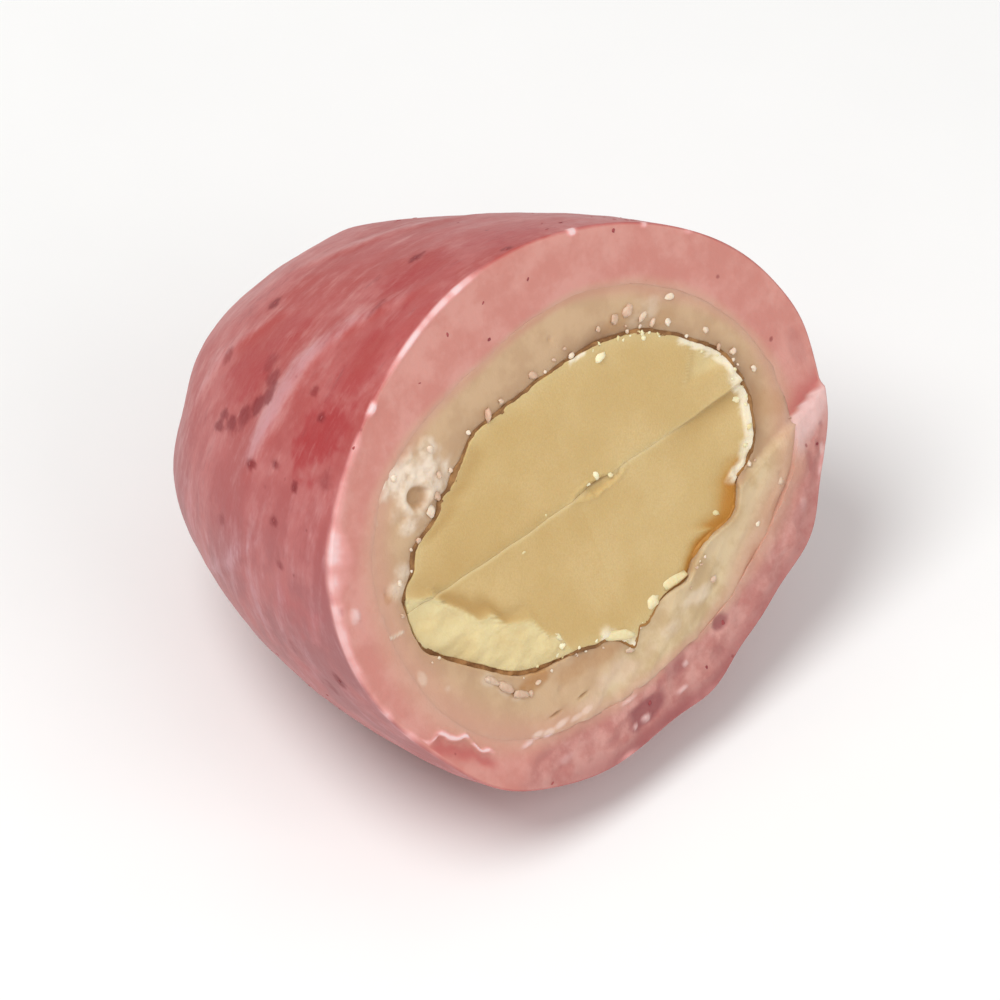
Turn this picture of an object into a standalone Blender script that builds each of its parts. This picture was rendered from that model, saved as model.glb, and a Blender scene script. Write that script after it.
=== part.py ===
# Half of a coated almond: a roasted kernel of two seed leaves in its brown skin, a layer of
# white chocolate round it and a strawberry coat over that, cut across the middle.
# Metres, +Z up. It lies on z = 0 with the origin under the middle of its box. The cut face
# looks towards +X and leans back, and the length of the almond runs back from it towards -X.
# Every shape is worked out in the frame of the cut face: x across it, y up it, z out of it.

import math

import bmesh
import bpy
import numpy as np
from mathutils import Vector

MM = 0.001

# How the piece lies: the lean of its cut face, and how much of its round underside is flat
FACE_TILT = math.radians(27.3)
SETTLED_DEPTH = 0.3 * MM

# Each layer at the cut, and its length back from it. A lobe is (how many there are round the
# edge, its share of the radius, the direction of the first crest in degrees from x).
COAT = {
    "half_width": 9.55 * MM,
    "half_height": 8.25 * MM,
    "centre": (-0.03 * MM, 0.12 * MM),
    "length": 14.5 * MM,
    "lobes": ((3, 0.016, 0), (4, 0.011, -14), (5, 0.007, 29)),
}
CHOCOLATE = {
    "half_width": 8.05 * MM,
    "half_height": 6.2 * MM,
    "centre": (-0.1 * MM, -0.2 * MM),
    "length": 12.8 * MM,
    "lobes": ((3, 0.009, -4), (4, 0.021, -36), (5, 0.014, 1)),
}
KERNEL = {
    "half_width": 6.8 * MM,
    "half_height": 4.35 * MM,
    "centre": (0.07 * MM, -0.14 * MM),
    "length": 11.2 * MM,
    "lobes": ((3, 0.019, 48), (5, 0.016, -26), (7, 0.018, 18), (8, 0.014, 0)),
}

# How every layer rounds off from the cut back to the tip, and how far its axis sways there
DEPTH_POWER = 1.85
WIDTH_POWER = 2.5
TIP_SWAY = (0.2 * MM, 1.5 * MM)

# Broad swells of the coat's outside: waves round it, waves from cut to tip, height, phase
SWELLS = ((2, 1.5, 0.09 * MM, 0.6), (3, 2.5, 0.07 * MM, 2.4), (5, 3.5, 0.04 * MM, 4.1))

# Fine sizes at the cut: the brown skin, the gap between layers and the dulled outer edge
SKIN_THICKNESS = 0.16 * MM
SKIN_SINK = 0.12 * MM
LAYER_GAP = 0.06 * MM
RIM_ROUNDING = 0.22 * MM

# The lower right corner snapped off instead of being cut. Its edge is a straight crease from
# the rim to the kernel. It stands proud there, falls away below, and fades out to the left.
CREASE_START = (9.3 * MM, -1.4 * MM)
CREASE_END = (6.0 * MM, -2.4 * MM)
SNAP_PROUD = 0.2 * MM
SNAP_STEP = 0.25 * MM
SNAP_SLOPE = 0.08
SNAP_FADE = (-6.0 * MM, -1.0 * MM)

# The kernel's lower left edge is chipped: it slopes back beyond a line this far from the middle
CHIP_SLANT = math.radians(-43)
CHIP_REACH = 4.2 * MM
CHIP_SLOPE = 0.22

# Where the two seed leaves meet, up the face
SEED_LEAF_SEAM = 0.17 * MM

# Points round every layer, and rows of them: along a wall from cut to tip, and across the face
COLUMNS = 60
COAT_ROWS = 22
CHOCOLATE_ROWS = 12
KERNEL_ROWS = 11
SKIN_ROWS = 10
COAT_FACE_ROWS = 5
CHOCOLATE_FACE_ROWS = 4
KERNEL_FACE_ROWS = 5

ANGLES = np.arange(COLUMNS) * math.tau / COLUMNS
UP = np.array([0, math.cos(FACE_TILT), math.sin(FACE_TILT)])
FORWARD = np.array([0, -math.sin(FACE_TILT), math.cos(FACE_TILT)])
OUT_OF_FACE = np.array([0, 0, 1])


def clear_scene():
    for old in list(bpy.data.objects):
        bpy.data.objects.remove(old, do_unlink=True)


def food_material(name, colour, roughness):
    material = bpy.data.materials.new(name)
    material.use_nodes = True
    shader = material.node_tree.nodes["Principled BSDF"]
    shader.inputs["Base Color"].default_value = (*colour, 1)
    shader.inputs["Roughness"].default_value = roughness
    shader.inputs["Metallic"].default_value = 0
    material.diffuse_color = (*colour, 1)
    return material


def flat_cut(x, y):
    """Height of an even cut over the face plane."""
    return np.zeros(np.shape(x))


def snapped_corner(x, y):
    """Height of the coat's and chocolate's face: 0 but for the snapped corner."""
    run = CREASE_START[0] - CREASE_END[0]
    rise = CREASE_START[1] - CREASE_END[1]
    drop = CREASE_START[1] + (x - CREASE_START[0]) * rise / run - y
    below = drop * run / math.hypot(run, rise)
    step = SNAP_PROUD * np.clip(below / SNAP_STEP, 0, 1)
    fall = SNAP_SLOPE * np.maximum(below - SNAP_STEP, 0)
    fade = np.clip((x - SNAP_FADE[0]) / (SNAP_FADE[1] - SNAP_FADE[0]), 0, 1)
    return (step - fall) * fade * fade * (3 - 2 * fade)


def chipped_edge(x, y):
    """Height of the kernel's face: 0 but for the slope of its chipped edge."""
    beyond = y * math.sin(CHIP_SLANT) - x * math.cos(CHIP_SLANT) - CHIP_REACH
    return -CHIP_SLOPE * np.maximum(beyond, 0)


def sunken_skin(x, y):
    """Height of the skin's edge, a little below the chocolate round it."""
    return np.minimum(snapped_corner(x, y), 0) - SKIN_SINK


def coat_swell(turn):
    """How far the coat stands out at each column, at a turn from the cut (0) to the tip."""
    height = np.zeros(COLUMNS)
    for around, along, size, phase in SWELLS:
        height += size * np.cos(around * ANGLES + phase) * np.sin(along * turn + phase)
    return height * np.sin(2 * turn)


def no_swell(turn):
    return np.zeros(COLUMNS)


def outline(layer, grow):
    """The layer's edge at the cut, grown outwards, from its centre: an ellipse with lobes."""
    across = np.cos(ANGLES) / layer["half_width"]
    upward = np.sin(ANGLES) / layer["half_height"]
    radius = 1 / np.hypot(across, upward)
    for count, share, crest in layer["lobes"]:
        radius *= 1 + share * np.cos(count * (ANGLES - math.radians(crest)))
    return (radius + grow) * np.cos(ANGLES), (radius + grow) * np.sin(ANGLES)


def axis_point(layer, back):
    """Where the layer's axis lies, this far back from the cut."""
    sway = (back / COAT["length"]) ** 2
    return [layer["centre"][0] + TIP_SWAY[0] * sway, layer["centre"][1] + TIP_SWAY[1] * sway]


def wall(layer, rows, grow, relief, swell=no_swell):
    """Rows of points from the edge at the cut back towards the tip, and the tip itself.

    Depth and width follow a superellipse of the turn from the cut (0) to the tip (90 degrees).
    Where the relief lies below the cut the wall starts that much further back, and where it
    stands proud the first rows are drawn out to it.
    """
    x, y = outline(layer, grow)
    length = layer["length"] + grow
    edge = relief(x + layer["centre"][0], y + layer["centre"][1])
    start = np.arcsin((np.maximum(-edge, 0) / length) ** (DEPTH_POWER / 2))
    points = []
    for share in np.arange(rows) / rows:
        turn = start + (math.pi / 2 - start) * share
        back = length * np.sin(turn) ** (2 / DEPTH_POWER)
        width = np.cos(turn) ** (2 / WIDTH_POWER) + swell(turn) / layer["half_height"]
        axis_x, axis_y = axis_point(layer, back)
        drawn_out = np.maximum(edge, 0) * (1 - share) ** 4
        points.append(np.stack([x * width + axis_x, y * width + axis_y, drawn_out - back], axis=1))
    tip = np.array([*axis_point(layer, length), -length])
    return points, tip


def face_rows(outer, inner, rows, relief):
    """Rows of the cut face between two edges, without the edges, at the relief's height."""
    points = []
    for share in np.arange(1, rows) / rows:
        row = outer * (1 - share) + inner * share
        row[:, 2] = relief(row[:, 0], row[:, 1])
        points.append(row)
    return points


def rounded_rim(edge, centre):
    """Three rows that dull the sharp edge of the cut: on the wall, between, and on the face."""
    inward = (np.array([*centre, 0]) - edge) * (1, 1, 0)
    inward /= np.linalg.norm(inward, axis=1)[:, None]
    wall_row = edge - RIM_ROUNDING * OUT_OF_FACE
    face_row = edge + RIM_ROUNDING * inward
    between = edge + RIM_ROUNDING * (1 - math.sqrt(0.5)) * (inward - OUT_OF_FACE)
    return [wall_row, between, face_row]


def closed_mesh(name, rows, first, last):
    """A mesh from rows of points round an axis, closed by one point at each end."""
    corners = np.concatenate([[first], *rows, [last]])
    faces = []
    for column in range(COLUMNS):
        after = (column + 1) % COLUMNS
        for row in range(len(rows) - 1):
            near = 1 + row * COLUMNS
            far = near + COLUMNS
            faces.append((near + column, near + after, far + after))
            faces.append((near + column, far + after, far + column))
        end = 1 + (len(rows) - 1) * COLUMNS
        faces.append((1 + after, 1 + column, 0))
        faces.append((end + column, end + after, len(corners) - 1))
    mesh = bpy.data.meshes.new(name)
    mesh.from_pydata(corners.tolist(), [], faces)
    return mesh


def place(name, mesh, material, frame):
    mesh.materials.append(material)
    mesh.shade_smooth()
    mesh.set_sharp_from_angle(angle=math.radians(40))
    piece = bpy.data.objects.new(name, mesh)
    piece.parent = frame
    bpy.context.scene.collection.objects.link(piece)


def settle(points, floor):
    """Push what would reach below the floor straight up onto it."""
    below = np.minimum(points @ UP - floor, 0)
    return points - below[:, None] * UP


def face_frame(points, floor):
    """The empty that carries every piece. It stands the coat's box on the origin."""
    forward = points @ FORWARD
    sideways = points[:, 0]
    frame = bpy.data.objects.new("cut_face_frame", None)
    frame.empty_display_size = COAT["half_height"]
    frame.rotation_euler = (math.pi / 2 - FACE_TILT, 0, math.pi / 2)
    middle_x = (forward.min() + forward.max()) / 2
    middle_y = (sideways.min() + sideways.max()) / 2
    frame.location = (-middle_x, -middle_y, -floor)
    bpy.context.scene.collection.objects.link(frame)
    return frame


def strawberry_coat():
    """The outer shell, worn flat underneath where it rests, and the frame set by its box."""
    outside, tip = wall(COAT, COAT_ROWS, 0, snapped_corner, coat_swell)
    inside, inner_tip = wall(CHOCOLATE, CHOCOLATE_ROWS, LAYER_GAP / 2, snapped_corner)
    rim = rounded_rim(outside[0], COAT["centre"])
    face = face_rows(rim[-1], inside[0], COAT_FACE_ROWS, snapped_corner)
    rows = outside[:0:-1] + rim + face + inside
    floor = np.concatenate(rows).dot(UP).min() + SETTLED_DEPTH
    rows = [settle(row, floor) for row in rows]
    frame = face_frame(np.concatenate(rows), floor)
    mesh = closed_mesh("strawberry_coat", rows, tip, inner_tip)
    place("strawberry_coat", mesh, food_material("strawberry", (0.49, 0.156, 0.162), 0.38), frame)
    return frame


def white_chocolate(frame):
    outside, tip = wall(CHOCOLATE, CHOCOLATE_ROWS, -LAYER_GAP / 2, snapped_corner)
    room = SKIN_THICKNESS + LAYER_GAP
    inside, inner_tip = wall(KERNEL, KERNEL_ROWS, room, snapped_corner)
    face = face_rows(outside[0], inside[0], CHOCOLATE_FACE_ROWS, snapped_corner)
    mesh = closed_mesh("white_chocolate", outside[::-1] + face + inside, tip, inner_tip)
    place("white_chocolate", mesh, food_material("chocolate", (0.66, 0.46, 0.31), 0.5), frame)


def almond_skin(frame):
    outside, tip = wall(KERNEL, SKIN_ROWS, SKIN_THICKNESS, sunken_skin)
    inside, inner_tip = wall(KERNEL, SKIN_ROWS, 0, sunken_skin)
    mesh = closed_mesh("almond_skin", outside[::-1] + inside, tip, inner_tip)
    place("almond_skin", mesh, food_material("skin", (0.141, 0.061, 0.021), 0.7), frame)


def seed_leaf(name, side, material, frame):
    """One half of the kernel: the whole kernel cut along its seam, on the side given."""
    outside, tip = wall(KERNEL, KERNEL_ROWS, -LAYER_GAP, chipped_edge)
    middle = np.array([*KERNEL["centre"], 0])
    face = face_rows(outside[0], middle, KERNEL_FACE_ROWS, chipped_edge)
    mesh = closed_mesh(name, outside[::-1] + face, tip, middle)
    leaf = bmesh.new()
    leaf.from_mesh(mesh)
    cut = bmesh.ops.bisect_plane(
        leaf,
        geom=leaf.verts[:] + leaf.edges[:] + leaf.faces[:],
        dist=LAYER_GAP / 50,
        plane_co=Vector((0, SEED_LEAF_SEAM + side * LAYER_GAP / 2, 0)),
        plane_no=Vector((0, side, 0)),
        clear_inner=True,
    )
    open_edges = [piece for piece in cut["geom_cut"] if isinstance(piece, bmesh.types.BMEdge)]
    bmesh.ops.holes_fill(leaf, edges=open_edges)
    bmesh.ops.triangulate(leaf, faces=leaf.faces[:])
    bmesh.ops.recalc_face_normals(leaf, faces=leaf.faces[:])
    leaf.to_mesh(mesh)
    leaf.free()
    place(name, mesh, material, frame)


def kernel(frame):
    material = food_material("kernel", (0.672, 0.485, 0.223), 0.55)
    seed_leaf("kernel_upper", 1, material, frame)
    seed_leaf("kernel_lower", -1, material, frame)


def main():
    clear_scene()
    frame = strawberry_coat()
    white_chocolate(frame)
    almond_skin(frame)
    kernel(frame)


main()
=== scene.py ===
import math

import bmesh
import bpy
import numpy as np
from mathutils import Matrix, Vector


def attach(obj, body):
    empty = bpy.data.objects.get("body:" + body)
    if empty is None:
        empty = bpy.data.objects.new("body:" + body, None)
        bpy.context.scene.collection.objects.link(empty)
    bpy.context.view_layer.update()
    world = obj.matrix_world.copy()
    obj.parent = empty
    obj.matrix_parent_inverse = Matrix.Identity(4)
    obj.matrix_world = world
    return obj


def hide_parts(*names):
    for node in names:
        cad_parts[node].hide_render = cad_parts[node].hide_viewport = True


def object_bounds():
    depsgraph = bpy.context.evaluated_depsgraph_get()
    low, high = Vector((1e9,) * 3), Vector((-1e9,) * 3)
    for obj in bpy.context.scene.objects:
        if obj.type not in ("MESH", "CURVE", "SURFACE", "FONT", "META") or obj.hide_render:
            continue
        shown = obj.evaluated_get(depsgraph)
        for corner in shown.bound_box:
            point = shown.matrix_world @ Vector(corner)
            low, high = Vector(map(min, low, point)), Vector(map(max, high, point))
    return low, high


# Half of a coated almond, cut across: the strawberry coat, the white chocolate, the brown skin and
# the two seed leaves of the kernel, each as a fine surface, with the crumbs and the fruit specks.
# All shapes are worked out in millimetres in the frame of the cut face: x runs across it, y up it
# and z out of it. Depths behind the cut are therefore negative.

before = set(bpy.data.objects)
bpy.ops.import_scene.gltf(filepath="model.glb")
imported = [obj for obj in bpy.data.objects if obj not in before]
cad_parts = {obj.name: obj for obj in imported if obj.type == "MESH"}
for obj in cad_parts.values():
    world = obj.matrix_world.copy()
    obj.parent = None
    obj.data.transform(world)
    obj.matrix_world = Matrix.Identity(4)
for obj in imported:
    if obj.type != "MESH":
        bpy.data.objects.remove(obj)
solidLow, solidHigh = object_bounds()
print("frame loaded:", sorted(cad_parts))

mm = 0.001
lie = {
    "lean": math.radians(27.3),  # the cut face leans back by this much
    "flatSpot": 0.3,  # how much of the round underside is pressed flat
    "inset": 0.085,  # the fine surface starts this far inside the solid's
}
body = {
    "depthPower": 1.85,  # how full the dome is lengthwise and across
    "widthPower": 2.5,
    "tipSway": (0.2, 1.5),  # how far the axis has moved at the tip
    "nearTip": 0.995,  # the share of the way to the tip at which a wall's last row lies
    # low waves of the outside, as (waves round it, waves along it, height in mm, phase)
    "swells": ((2, 1.5, 0.09, 0.6), (3, 2.5, 0.07, 2.4), (5, 3.5, 0.04, 4.1)),
}
coat = {
    "halfWidth": 9.55,
    "halfHeight": 8.25,
    "middle": (-0.03, 0.12),
    "length": 14.5,
    "lobes": ((3, 0.016, 0), (4, 0.011, -14), (5, 0.007, 29)),
    # small corners of the outline, as (angle, half width, size in mm)
    "nudges": (
        (-132, 12, 0.22),
        (-104, 14, 0.08),
        (-74, 9, 0.41),
        (-57, 8, 0.15),
        (-38, 9, 0.42),
        (-16, 7, 0.12),
        (4, 7, 0.08),
        (36, 13, -0.05),
    ),
}
chocolate = {
    "halfWidth": 8.05,
    "halfHeight": 6.2,
    "middle": (-0.1, -0.2),
    "length": 12.8,
    "lobes": ((3, 0.009, -4), (4, 0.021, -36), (5, 0.014, 1)),
}
kernel = {
    "halfWidth": 6.77,
    "halfHeight": 4.35,
    "middle": (0.0, 0.17),
    "length": 11.2,
    "lobes": ((1, 0.078, -83), (3, 0.013, 56), (5, 0.018, -25), (7, 0.017, 21), (8, 0.016, 2)),
}
corner = {
    "start": (9.3, -1.4),  # the snapped corner's crease runs from the rim to the kernel
    "end": (6.0, -2.4),
    "proud": 0.2,
    "step": 0.16,
    "slope": 0.08,
    "fade": (-6.0, -1.0),
    "edge": ((-9.0, -9.5), (-6.3, -7.4), (-5.0, -5.9), (-2.6, -5.2), (0.0, -4.6), (3.0, -3.6)),
}

shuffled = np.random.default_rng(11).permutation(512)


def smooth(value, low, high):
    # 0 below low, 1 above high, with an eased rise between
    share = np.clip((value - low) / (high - low), 0, 1)
    return share * share * (3 - 2 * share)


def bell(distance, width):
    # 1 in the middle and less to both sides: e to minus the square of distance over width
    return np.exp(-((distance / width) ** 2))


def latticeValue(cell, seed):
    # a fixed number from 0 to 1 for each whole-number cell of space
    first = shuffled[(cell[..., 0] + 37 * seed) & 511]
    second = shuffled[(first + cell[..., 1]) & 511]
    return shuffled[(second + cell[..., 2]) & 511] / 511


def noise(points, size, seed):
    # random values at the corners of cubes of this size, eased between: from -1 to 1
    place = points / size
    cell = np.floor(place).astype(int)
    part = place - cell
    part = part * part * (3 - 2 * part)
    total = 0
    for step in np.ndindex(2, 2, 2):
        share = np.prod(np.where(step, part, 1 - part), axis=-1)
        total = total + share * latticeValue(cell + np.array(step), seed)
    return 2 * total - 1


def layeredNoise(points, size, seed, layers):
    # noise, and finer noise of half the height on top of it, and so on
    total = 0
    for layer in range(layers):
        total = total + noise(points, size / 2**layer, seed + layer) / 2**layer
    return total


# how uneven the edges and surfaces are, as (height, size in mm, seed, layers)
unevenness = {
    "snapEdge": (0.14, 0.8, 61, 3),
    "creaseEdge": (0.2, 0.7, 43, 3),
    "flapEdge": (0.16, 0.6, 33, 3),
    "flapGaps": (1, 0.5, 37, 1),
    "bruises": (0.35, 0.6, 35, 3),
    "frosts": (0.35, 0.6, 39, 3),
    "crumblyPatches": (0.35, 0.6, 77, 3),
    "stains": (0.35, 0.6, 79, 3),
    "outsideWaves": (0.05, 3.4, 3, 3),
    "outsideGrain": (0.014, 0.8, 9, 3),
    "rimRadius": (0.35, 1.7, 51, 1),
    "lipWear": (1, 0.6, 53, 3),
    "frostSpots": (0.6, 0.3, 57, 3),
    "smudgeEdge": (0.5, 0.35, 59, 4),
    "coatCut": (0.012, 1.6, 21, 3),
    "coatSnap": (0.1, 1.3, 25, 4),
    "boundary": (0.03, 0.9, 41, 3),
    "boundarySnap": (1, 1.1, 45, 3),
    "chocolateCut": (0.008, 1.1, 81, 4),
    "chocolateCrumbly": (0.05, 0.4, 88, 3),
    "chocolateSnap": (0.07, 1.2, 91, 3),
    "holeEdge": (0.12, 0.3, 83, 2),
    "skinRoom": (0.3, 0.8, 95, 3),
    "skinTop": (0.02, 0.5, 121, 3),
    "skinGrain": (0.03, 0.18, 125, 2),
    "kernelEdge": (0.035, 0.6, 71, 3),
    "kernelCut": (0.008, 0.9, 111, 4),
    "kernelRough": (1, 0.8, 115, 4),
    "kernelWhite": (1, 0.35, 117, 3),
    "kernelFlaked": (0.06, 0.7, 123, 4),
    "kernelMottle": (0.25, 0.6, 129, 3),
    "bandEdge": (0.1, 0.7, 101, 3),
    "chipEdge": (0.08, 0.6, 105, 3),
    "amberEdge": (0.16, 0.8, 109, 3),
    "whiteEdge": (0.16, 0.3, 107, 3),
    "dimpleEdge": (0.5, 0.3, 119, 2),
    "crumbs": (0.35, 0.9, 131, 3),
    "specks": (0.35, 1.0, 141, 3),
}


def uneven(name, points):
    # the unevenness of this name at these points: its height times its layered noise
    height, size, seed, layers = unevenness[name]
    return height * layeredNoise(points, size, seed, layers)


def grains(points, size, seed):
    # distance to the nearest of many scattered points, in cells, and a random number of its own
    place = points / size
    cell = np.floor(place).astype(int)
    nearest = np.full(points.shape[:-1], 9.0)
    own = np.zeros(points.shape[:-1])
    for step in np.ndindex(3, 3, 3):
        other = cell + np.array(step) - 1
        jitter = np.stack([latticeValue(other, seed + axis) for axis in range(3)], -1)
        distance = np.linalg.norm(other + jitter - place, axis=-1)
        own = np.where(distance < nearest, latticeValue(other, seed + 5), own)
        nearest = np.minimum(nearest, distance)
    return nearest, own


def flatPoints(x, y):
    # points in the plane of the cut: x and y, with a z of 0
    return np.stack([x, y, np.zeros_like(x)], -1)


def roundAngles(columns):
    # this many angles in equal steps once round, as a row
    return np.arange(columns)[None, :] * math.tau / columns


def turnsAway(angle, degrees):
    # how many degrees each angle lies from this direction
    return (np.degrees(angle) - degrees + 180) % 360 - 180


def reach(layer, angle):
    # distance from the layer's middle to its edge at the cut: an ellipse, times a few lobes, plus
    # the small corners
    distance = 1 / np.hypot(np.cos(angle) / layer["halfWidth"], np.sin(angle) / layer["halfHeight"])
    for count, share, crest in layer["lobes"]:
        distance = distance * (1 + share * np.cos(count * (angle - math.radians(crest))))
    for degrees, wide, size in layer.get("nudges", ()):
        distance = distance + size * bell(turnsAway(angle, degrees), wide)
    return distance


def edgePoint(layer, angle, grow):
    # a point of the layer's edge at the cut: its middle and, in this direction, its grown reach
    distance = reach(layer, angle) + grow
    x = layer["middle"][0] + distance * np.cos(angle)
    y = layer["middle"][1] + distance * np.sin(angle)
    return flatPoints(x, y)


def wallPoint(layer, angle, turn, grow=0.0, swell=0.0):
    # a point of the layer's wall. Depth goes with the sine of the turn from the cut (0) to the tip
    # (a quarter turn), width with its cosine, each to a power, and the axis sways towards the tip
    back = (layer["length"] + grow) * np.sin(turn) ** (2 / body["depthPower"])
    width = np.maximum(np.cos(turn), 0) ** (2 / body["widthPower"]) + swell / layer["halfHeight"]
    sway = (back / coat["length"]) ** 2
    distance = (reach(layer, angle) + grow) * width
    x = layer["middle"][0] + distance * np.cos(angle) + body["tipSway"][0] * sway
    y = layer["middle"][1] + distance * np.sin(angle) + body["tipSway"][1] * sway
    return np.stack(np.broadcast_arrays(x, y, -back), -1)


def wallStart(layer, recess):
    # the turn at which the wall is this far behind the cut: the depth of wallPoint, turned round
    return np.arcsin((np.maximum(recess, 0) / layer["length"]) ** (body["depthPower"] / 2))


def towardsTip(start, share):
    # the turn that lies this share of the way from the wall's start to the tip
    return start + (math.pi / 2 - start) * share


def coatSwell(angle, turn):
    # the low waves: a wave round the dome times one along it, fading to nothing at rim and tip
    height = 0
    for around, along, size, phase in body["swells"]:
        height = height + size * np.cos(around * angle + phase) * np.sin(along * turn + phase)
    return height * np.sin(2 * turn)


def cornerDepth(x, y):
    # how far below the crease's line a point of the face lies
    run = corner["start"][0] - corner["end"][0]
    rise = corner["start"][1] - corner["end"][1]
    drop = corner["start"][1] + (x - corner["start"][0]) * rise / run - y
    return drop * run / math.hypot(run, rise)


def faceHeight(x, y):
    # the cut is level but for the snapped corner, proud along its crease and falling away below.
    # The crease is sharp at the right and spreads into a gentle slope at the left
    below = cornerDepth(x, y)
    spread = corner["step"] + 2.0 * (1 - smooth(x, -1.0, 3.5))
    step = corner["proud"] * np.clip(below / spread, 0, 1)
    fall = corner["slope"] * np.maximum(below - corner["step"], 0)
    return (step - fall) * smooth(x, *corner["fade"])


def snapped(x, y):
    # 1 where the face snapped instead of being cut, with a ragged border, soft at its left end
    edgeX, edgeY = np.array(corner["edge"] + (corner["end"], corner["start"], (10.5, -1.1))).T
    ragged = uneven("snapEdge", flatPoints(x, y))
    soft = 0.12 + 0.9 * smooth(-x, -1.5, 2.5)
    return smooth((np.interp(x, edgeX, edgeY) + ragged - y) / soft, 0.0, 1.0)


def spots(x, y, look, name):
    # ragged oval patches on the face, as (x, y, half width, half height, strength): each is full
    # out to 0.4 of its size and gone at 1.15, and the strongest wins
    ragged = uneven(name, flatPoints(x, y))
    share = 0 * x
    for atX, atY, wide, tall, strength in look[name]:
        away = np.hypot((x - atX) / wide, (y - atY) / tall)
        share = np.maximum(share, strength * (1 - smooth(away + ragged, 0.4, 1.15)))
    return share


def faceOrigin():
    # where the middle of the cut lies in the row frame, in mm: the coat's box fits the solid's
    angle = np.radians(np.arange(0, 360))[None, :]
    turn = np.radians(np.arange(0, 91))[:, None]
    plain = dict(coat, nudges=())
    points = wallPoint(plain, angle, turn, 0, coatSwell(angle, turn))
    lean = lie["lean"]
    east = points[..., 2] * math.cos(lean) - points[..., 1] * math.sin(lean)
    height = points[..., 1] * math.cos(lean) + points[..., 2] * math.sin(lean)
    boxMiddle = (solidLow + solidHigh) / 2 / mm
    return (
        boxMiddle[0] - (east.min() + east.max()) / 2,
        boxMiddle[1] - (points[..., 0].min() + points[..., 0].max()) / 2,
        solidLow[2] / mm - height.min() - lie["flatSpot"],
    )


origin = faceOrigin()


def toRow(points):
    # from the frame of the cut face, in mm, to the row frame, in metres, pressed flat at the floor
    x, y, z = np.moveaxis(np.asarray(points, float), -1, 0)
    lean = lie["lean"]
    east = origin[0] + z * math.cos(lean) - y * math.sin(lean)
    height = origin[2] + y * math.cos(lean) + z * math.sin(lean)
    return np.stack([east, origin[1] + x, np.maximum(height, 0)], -1) * mm


def addTraits(mesh, traits):
    # traits are kept on the mesh's points for the paint: one number or three for each point
    for name, values in traits.items():
        if values.ndim == 1:
            layer = mesh.attributes.new(name, "FLOAT", "POINT")
            layer.data.foreach_set("value", values.astype(np.float32))
        else:
            layer = mesh.attributes.new(name, "FLOAT_VECTOR", "POINT")
            layer.data.foreach_set("vector", values.astype(np.float32).ravel())


def addPiece(name, mesh, paint, nodes=()):
    # the mesh becomes a smooth piece on the root body, in place of these solids where it has any
    mesh.materials.append(paint)
    mesh.shade_smooth()
    piece = bpy.data.objects.new(name, mesh)
    bpy.context.scene.collection.objects.link(piece)
    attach(piece, "root")
    if nodes:
        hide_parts(*nodes)
    print(f"{name}: {sum(len(face.vertices) - 2 for face in mesh.polygons)} triangles")


def closedRings(name, rings, traits):
    # a closed mesh from rows of points that each run once round, with a point at either end.
    # rings is rows x columns x 3, and each trait is rows x columns, or x 3
    rows, columns = rings.shape[:2]
    ends = np.stack([rings[0].mean(0), rings[-1].mean(0)])
    points = np.concatenate([rings.reshape(-1, 3), ends])
    row, column = np.meshgrid(np.arange(rows - 1), np.arange(columns), indexing="ij")
    here = row * columns + column
    beside = row * columns + (column + 1) % columns
    quads = np.stack([here, beside, beside + columns, here + columns], -1).reshape(-1, 4)
    turn = np.arange(columns)
    after = (turn + 1) % columns
    last = (rows - 1) * columns
    firstFan = np.stack([after, turn, np.full(columns, rows * columns)], -1)
    lastFan = np.stack([last + turn, last + after, np.full(columns, rows * columns + 1)], -1)
    mesh = bpy.data.meshes.new(name)
    faces = quads.tolist() + firstFan.tolist() + lastFan.tolist()
    mesh.from_pydata(toRow(points).tolist(), [], faces)
    full = {}
    for trait, values in traits.items():
        spare = np.stack([values[0].mean(0), values[-1].mean(0)])
        full[trait] = np.concatenate([values.reshape(rows * columns, *values.shape[2:]), spare])
    addTraits(mesh, full)
    return mesh


class Wire:
    # a shader socket that can be used in sums

    def __init__(self, paint, socket):
        self.paint = paint
        self.socket = socket

    def sum(self, operation, *values):
        return self.paint.node("ShaderNodeMath", {"operation": operation}, dict(enumerate(values)))

    def __add__(self, other):
        return self.sum("ADD", self, other)

    def __radd__(self, other):
        return self.sum("ADD", other, self)

    def __sub__(self, other):
        return self.sum("SUBTRACT", self, other)

    def __rsub__(self, other):
        return self.sum("SUBTRACT", other, self)

    def __mul__(self, other):
        return self.sum("MULTIPLY", self, other)

    def eased(self, low, high):
        # 0 below low, 1 above high, with an eased rise between
        values = {"Value": self, "From Min": low, "From Max": high, "To Min": 0.0, "To Max": 1.0}
        return self.paint.node("ShaderNodeMapRange", {"interpolation_type": "SMOOTHSTEP"}, values)


def tone(red, green, blue):
    # a colour as a screen shows it, 0 to 255, made linear
    def linear(value):
        value = value / 255
        return value / 12.92 if value <= 0.04045 else ((value + 0.055) / 1.055) ** 2.4

    return (linear(red), linear(green), linear(blue), 1.0)


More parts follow.
